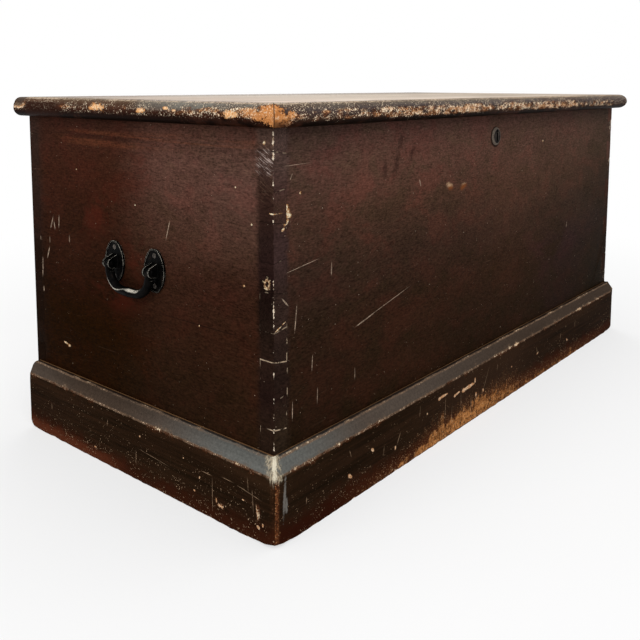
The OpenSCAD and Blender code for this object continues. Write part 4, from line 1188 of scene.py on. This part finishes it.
def mouldFinish(name, face, grain):
    # black-brown paint, rubbed through to bare pine along the nose
    f = Finish(name, Specular_IOR_Level=mouldPaint["gloss"])
    streak = f.noise(grain, 5, 0.6, (4.3, 9.1, 1.2), 0.3)
    fine = f.noise([g * 4 for g in grain], 4, 0.62, (6.1, 0.7, 2.4))
    cloud = f.noise((9, 9, 14), 3, 0.55, (0.3, 5.1, 2.5))
    patch = f.noise((60, 60, 90), 4, 0.62, (2.6, 2.9, 4.4))
    ragged = f.noise(280, 4, 0.68, (0.6, 2.2, 4.9))
    speck = f.noise(560, 2, 0.5, (5, 1, 9))
    # round the nose: a grey painted sheen on its upper side, near black painted shade on its underside
    f.colour = f.fade(f.z + patch.sway(0.004), *mouldPaint[face])
    upper = f.step(f.z + patch.sway(0.006), 0.4965, 0.5050)
    # on the ends, a grey painted sheen on the upper nose toward the near corner
    if face == "end":
        f.over(upper * f.step(f.y + cloud.sway(0.2), 0.0, -0.14) * 0.8, (120, 118, 110))
    f.over(f.step(cloud * 0.5 + patch * 0.5, 0.48, 0.60) * 0.35, (70, 38, 26))
    f.vary(1.0 + streak.sway(0.9) + fine.sway(0.6) + ragged.sway(1.2))
    # top side of the moulding is rubbed like the lid
    flat = f.step(f.z, 0.5082, 0.5102)
    rubbed = f.mix(f.step(streak * 0.4 + ragged * 0.6, 0.42, 0.58), (88, 72, 58), (188, 166, 142))
    f.over(flat * (0.40 + 0.60 * f.step(ragged * 0.6 + cloud * 0.6, 0.53, 0.68)), rubbed)
    # rubbed through: brown edges, tan wood, cream where it is splintered
    soft, grit = wearMask(f, 0.20, 0.40, 0.9)
    strong, _ = wearMask(f, 0.42, 0.50, 2.0)
    wood = f.mix(f.step(fine * 0.5 + ragged * 0.5, 0.40, 0.58), mouldPaint["bareLow"], mouldPaint["bareHigh"])
    tip = f.step(f.x, -0.50, -0.54) * f.step(f.y, -0.21, -0.25)
    wood = f.mix(f.step(patch * 0.3 + grit * 0.7 - tip * 0.07, 0.50, 0.58), wood, mouldPaint["cream"])
    wood = f.mix(tip * 0.5, wood, (208, 134, 72))
    wood = f.mix(f.step(speck, 0.38, 0.30) * 0.75, wood, (62, 34, 22))
    if face == "front":
        wood = f.mix(tip * f.step(f.z + patch.sway(0.01), 0.4955, 0.4890) * 0.75, wood, (62, 32, 18))
    f.over(soft * 0.65, f.mix(f.step(fine, 0.4, 0.6), (56, 32, 20), (112, 66, 40)))
    flake = f.noise(640, 3, 0.72, (1.9, 0.4, 6.3))
    f.over(strong * f.step(flake * 0.6 + patch * 0.4 + tip * 0.14, 0.46, 0.50), wood)
    if face == "end":
        blot = f.step(
            nearSpots(f, face, mouldPaint["spots"], -chest["noseX"]) + ragged.sway(2.6) + patch.sway(1.8), 1.1, 0.75,
        )
        f.over(blot, f.mix(f.step(ragged, 0.44, 0.56), (214, 150, 92), (242, 204, 160)))
    dust = f.step(speck, 0.59, 0.64) * f.step(patch, 0.42, 0.54) * f.step(f.z, 0.4905, 0.4950)
    f.over(dust * 0.85, (220, 200, 172))
    # red-black paint toward the far tip, grey paint on top of it
    if face == "end":
        f.over(
            f.step(f.y, 0.140, 0.160) * f.step(f.y, 0.240, 0.228) * f.step(f.z, 0.5065, 0.5035) * 0.75, (38, 17, 9),
        )
        f.over(f.step(f.y, 0.236, 0.246) * f.step(f.z + patch.sway(0.008), 0.4975, 0.5005) * 0.85, (70, 58, 50))
    # the mitre at the near corner is a dark line
    mitreLine = abs((f.x + chest["noseX"]) - (f.y - chest["noseY"]))
    f.over(f.step(mitreLine, 0.0011, 0.0004) * f.step(f.x, 0.0, -0.2) * 0.8, (52, 30, 18))
    return f.feed(0.44 + 0.25 * soft, streak * 0.3 + fine * 0.3 + ragged * 0.4 - strong * 0.7, 0.0005)


def lidFinish(name):
    # the lid's top, rubbed to a grey-brown
    f = Finish(name, Specular_IOR_Level=0.04)
    grain = (1.6, 46, 60)
    streak = f.noise(grain, 6, 0.62, (4.1, 0.6, 1.2), 0.5)
    fine = f.noise((7, 240, 240), 3, 0.6, (1.4, 6.6, 0.2))
    cloud = f.noise((2.6, 5.0, 4), 4, 0.55, (1.3, 3.1, 0.5))
    stain = f.noise((9, 14, 9), 3, 0.6, (5.3, 1.1, 7.5))
    f.colour = f.mix(f.step(streak * 0.6 + fine * 0.4, 0.34, 0.62), (148, 131, 114), (204, 189, 172))
    f.over(f.step(cloud, 0.50, 0.68) * 0.45, (210, 197, 182))
    f.over(f.step(streak, 0.60, 0.72) * 0.5, (120, 102, 86))
    f.over(f.step(stain, 0.60, 0.74) * 0.4, (128, 108, 88))
    rim = (abs(f.x) - 0.531).most(f.y - 0.265).most(-1 * f.y - 0.268)
    f.over(f.step(rim + cloud.sway(0.03), -0.020, 0.0) * 0.45, (104, 84, 66))
    f.over(f.step(f.y + cloud.sway(0.1), 0.04, 0.20) * 0.9, (0.66, 0.68, 0.72, 1), "MULTIPLY")
    f.over(f.step(f.y, -0.17, -0.22) * f.step(f.x, 0.46, 0.36), (1.22, 1.22, 1.24, 1), "MULTIPLY")
    f.over(f.step(f.x + cloud.sway(0.3), -0.22, -0.48) * 0.8, (0.90, 0.84, 0.82, 1), "MULTIPLY")
    f.over(f.step(f.y, 0.2585, 0.2645) * 0.8, (52, 40, 31))
    f.over(f.step(f.noise(300, 2, 0.5), 0.66, 0.72) * 0.4, (84, 66, 52))
    # raw pine below, a dark edge at the back
    side = f.step(f.z, 0.5102, 0.5096)
    raw = f.mix(f.step(streak, 0.38, 0.62), (118, 86, 56), (162, 126, 88))
    f.over(side, raw)
    backEdge = f.step(f.y, 0.2640, 0.2648)
    f.over(backEdge * 0.8, (54, 38, 28))
    return f.feed(0.5 + 0.15 * streak, streak * 0.55 + fine * 0.45, 0.0004)


def rawPine(name, grain):
    # old unfinished pine with dark growth rings and saw marks
    f = Finish(name, Specular_IOR_Level=0.15)
    streak = f.noise(grain, 6, 0.6, (4.6, 1.1, 2.2), 0.4)
    fine = f.noise([g * 4.5 for g in grain], 3, 0.6, (1.3, 4.7, 2.4))
    cloud = f.noise(6, 3, 0.55)
    f.colour = f.mix(f.step(streak * 0.65 + fine * 0.35, 0.34, 0.66), (112, 80, 50), (166, 128, 86))
    f.over(f.step(cloud, 0.5, 0.72) * 0.5, (84, 62, 42))
    return f.feed(0.62 + 0.15 * cloud, streak * 0.5 + fine * 0.5, 0.0005)


ironPaint = {
    # the key plate: its middle, and the keyhole's middle, half width and half height, each from clear to full
    "plateZ": 0.448, "holeZ": 0.4484, "holeWide": (0.0032, 0.0024), "holeHigh": (0.0118, 0.0106),
    # radius of the groove, which gets painted shade, and the rim from clear to full
    "groove": 0.0088, "rim": (0.0105, 0.0120),
    # a bail: height of its two bends, their distance from its middle, radius of the painted highlight, its outer side
    "bendZ": 0.285, "bendY": 0.0135, "line": 0.0248, "outside": (0.5425, 0.5440), "lowPart": (0.274, 0.266),
}


def ironFinish(name, low, high, shine, gloss, rust, handleHighlights=0.0, keyhole=False):
    # blackened iron, rubbed bright where it stands proud and where hands hold the bail, with painted highlights
    f = Finish(name, Specular_IOR_Level=gloss)
    patch = f.noise(90, 5, 0.6)
    pit = f.noise(900, 3, 0.6)
    proud = f.node("Attribute", {"attribute_name": "proud"}, {}, "Fac")
    rubAndHighlight = f.step(proud + patch.sway(0.16), 0.085, 0.16)
    f.colour = f.mix(f.step(patch, 0.38, 0.68), low, high)
    f.over(f.step(patch, 0.62, 0.70) * rust, (74, 46, 32))
    if handleHighlights:
        # painted highlights, as if lit from above: low parts keep their black
        rubAndHighlight = rubAndHighlight * (0.25 + 0.75 * f.step(f.z, 0.276, 0.296)) * f.step(patch * 0.5 + pit * 0.5, 0.38, 0.52)
    f.over(rubAndHighlight * (0.35 + 0.65 * f.step(pit, 0.40, 0.56)), shine)
    if keyhole:
        hole = (
            f.step(abs(f.x), *ironPaint["holeWide"]) * f.step(abs(f.z - ironPaint["holeZ"]), *ironPaint["holeHigh"])
        )
        away = f.x.reach(f.z - ironPaint["plateZ"])
        # painted shade in the groove; the rim is lighter
        f.over(f.step(abs(away - ironPaint["groove"]), 0.0016, 0.0006) * 0.7, (12, 9, 8))
        f.over(f.step(away, *ironPaint["rim"]) * (0.3 + 0.7 * f.step(pit, 0.42, 0.56)) * 0.7, (124, 112, 100))
        # the keyhole painted near black as its shade
        f.over(hole, (5, 4, 4))
    if handleHighlights:
        # the bail bends round two centres; the painted highlight line drifts outward at its left bend
        aside = (abs(f.y - chest["middleY"]) - ironPaint["bendY"]).most(0.0)
        bar = aside.reach(ironPaint["bendZ"] - f.z)
        drift = f.step(f.y, 0.012, 0.042)
        wide = f.step(abs(f.y + 0.002 + patch.sway(0.01)), 0.020, 0.008)
        thin = f.step(abs(bar - ironPaint["line"] - drift * 0.0060) * (1 - wide * 0.6), 0.0010, 0.0003)
        length = wide.most(f.step(abs(f.y - 0.037), 0.016, 0.008)).most(f.step(abs(f.y - 0.012), 0.03, 0.02) * 0.4)
        gripHighlight = thin * length * f.step(abs(f.x), *ironPaint["outside"]) * f.step(f.z, *ironPaint["lowPart"])
        f.over(gripHighlight * handleHighlights * f.step(pit * 0.5 + patch * 0.5, 0.40, 0.52), shine)
        rubAndHighlight = rubAndHighlight.most(gripHighlight)
    return f.feed(0.34 - 0.08 * rubAndHighlight + 0.1 * patch, patch * 0.6 + pit * 0.4, 0.0003)


def steelFinish(name, low, high):
    # bare steel with spots of rust
    f = Finish(name, Specular_IOR_Level=0.3, Metallic=0.6)
    patch = f.noise(220, 5, 0.6)
    pit = f.noise(1400, 3, 0.6)
    f.colour = f.mix(f.step(patch, 0.38, 0.66), low, high)
    f.over(f.step(patch, 0.58, 0.70) * 0.6, (96, 58, 36))
    return f.feed(0.48 + 0.2 * patch, patch * 0.5 + pit * 0.5, 0.0002)


# the wood's grain as waves a metre, for boards that lie along x and along y
alongX, alongY = (2.2, 60, 75), (60, 2.2, 75)
finishes = {
    "front": boardFinish("stainedFront", "front", alongX),
    "end": boardFinish("stainedEnd", "end", alongY),
    "plinthX": baseFinish("stainedBaseLong", "front", alongX),
    "plinthY": baseFinish("stainedBaseShort", "end", alongY),
    "lid": lidFinish("rubbedLid"),
    "mouldX": mouldFinish("mouldingLong", "front", alongX),
    "mouldY": mouldFinish("mouldingShort", "end", alongY),
    "bareY": rawPine("barePineShort", alongY),
    "bareX": rawPine("barePineLong", alongX),
    "iron": ironFinish("blackIron", (3, 3, 3), (12, 10, 9), (196, 190, 176), 0.02, 0.1, 1.0),
    "plate": ironFinish("platedIron", (34, 29, 27), (62, 55, 50), (150, 138, 124), 0.02, 0.1, keyhole=True),
    "dullIron": ironFinish("dullIron", (38, 35, 33), (66, 61, 57), (118, 112, 104), 0.15, 0.5),
    "steel": steelFinish("oldSteel", (54, 47, 41), (104, 98, 91)),
}
finishOf = {
    "front_board": "front", "back_board": "front", "end_board_left": "end", "end_board_right": "end",
    "plinth_front": "plinthX", "plinth_left": "plinthY", "plinth_right": "plinthY", "plinth_back_rail": "bareX",
    "plinth_corner_blocks": "bareY", "lid_board_front": "lid", "lid_board_back": "lid",
    "lid_moulding_front": "mouldX", "lid_moulding_left": "mouldY", "lid_moulding_right": "mouldY",
}
for name, item in nodes.items():
    key = finishOf.get(name)
    if key is None:
        if name.startswith("bottom_board"):
            key = "bareY"
        elif "rose" in name or name.endswith(("bail", "bail_pins")):
            key = "iron"
        elif name.startswith("escutcheon"):
            key = "plate"
        elif name in ("lock_plate", "lock_case", "lock_bolt", "lock_link_plate") or "leaf" in name:
            key = "dullIron"
        else:
            key = "steel"
    item.data.materials.clear()
    item.data.materials.append(finishes[key])
print("finishes are on the frame's pieces")

for place, piece in roses.items():
    piece.data.materials.append(finishes["iron"])
    end, row = place.split("_")
    finishPiece(piece, "carcase", "black_iron", "handle_" + end + "_rose_" + row)
for end, piece in bails.items():
    piece.data.materials.append(finishes["iron"])
    finishPiece(piece, end + "_bail", "black_iron", "handle_" + end + "_bail")
plate.data.materials.append(finishes["plate"])
finishPiece(plate, "carcase", "dull_iron", "escutcheon")
for node, side in sides.items():
    skirt, rim = plinthPieces[node], mouldPieces[node]
    skirt.data.materials.append(finishes["plinthX" if side == 0 else "plinthY"])
    rim.data.materials.append(finishes["mouldX" if side == 0 else "mouldY"])
    finishPiece(skirt, "carcase", "stained_plinth", "plinth_" + node)
    finishPiece(rim, "lid", "moulding_paint", "lid_moulding_" + node)
for node, board in boardPieces.items():
    board.data.materials.append(finishes[finishOf[node]])
    onLid = node.startswith("lid")
    finishPiece(board, "lid" if onLid else "carcase", "lid_paint" if onLid else "stained_pine", node)
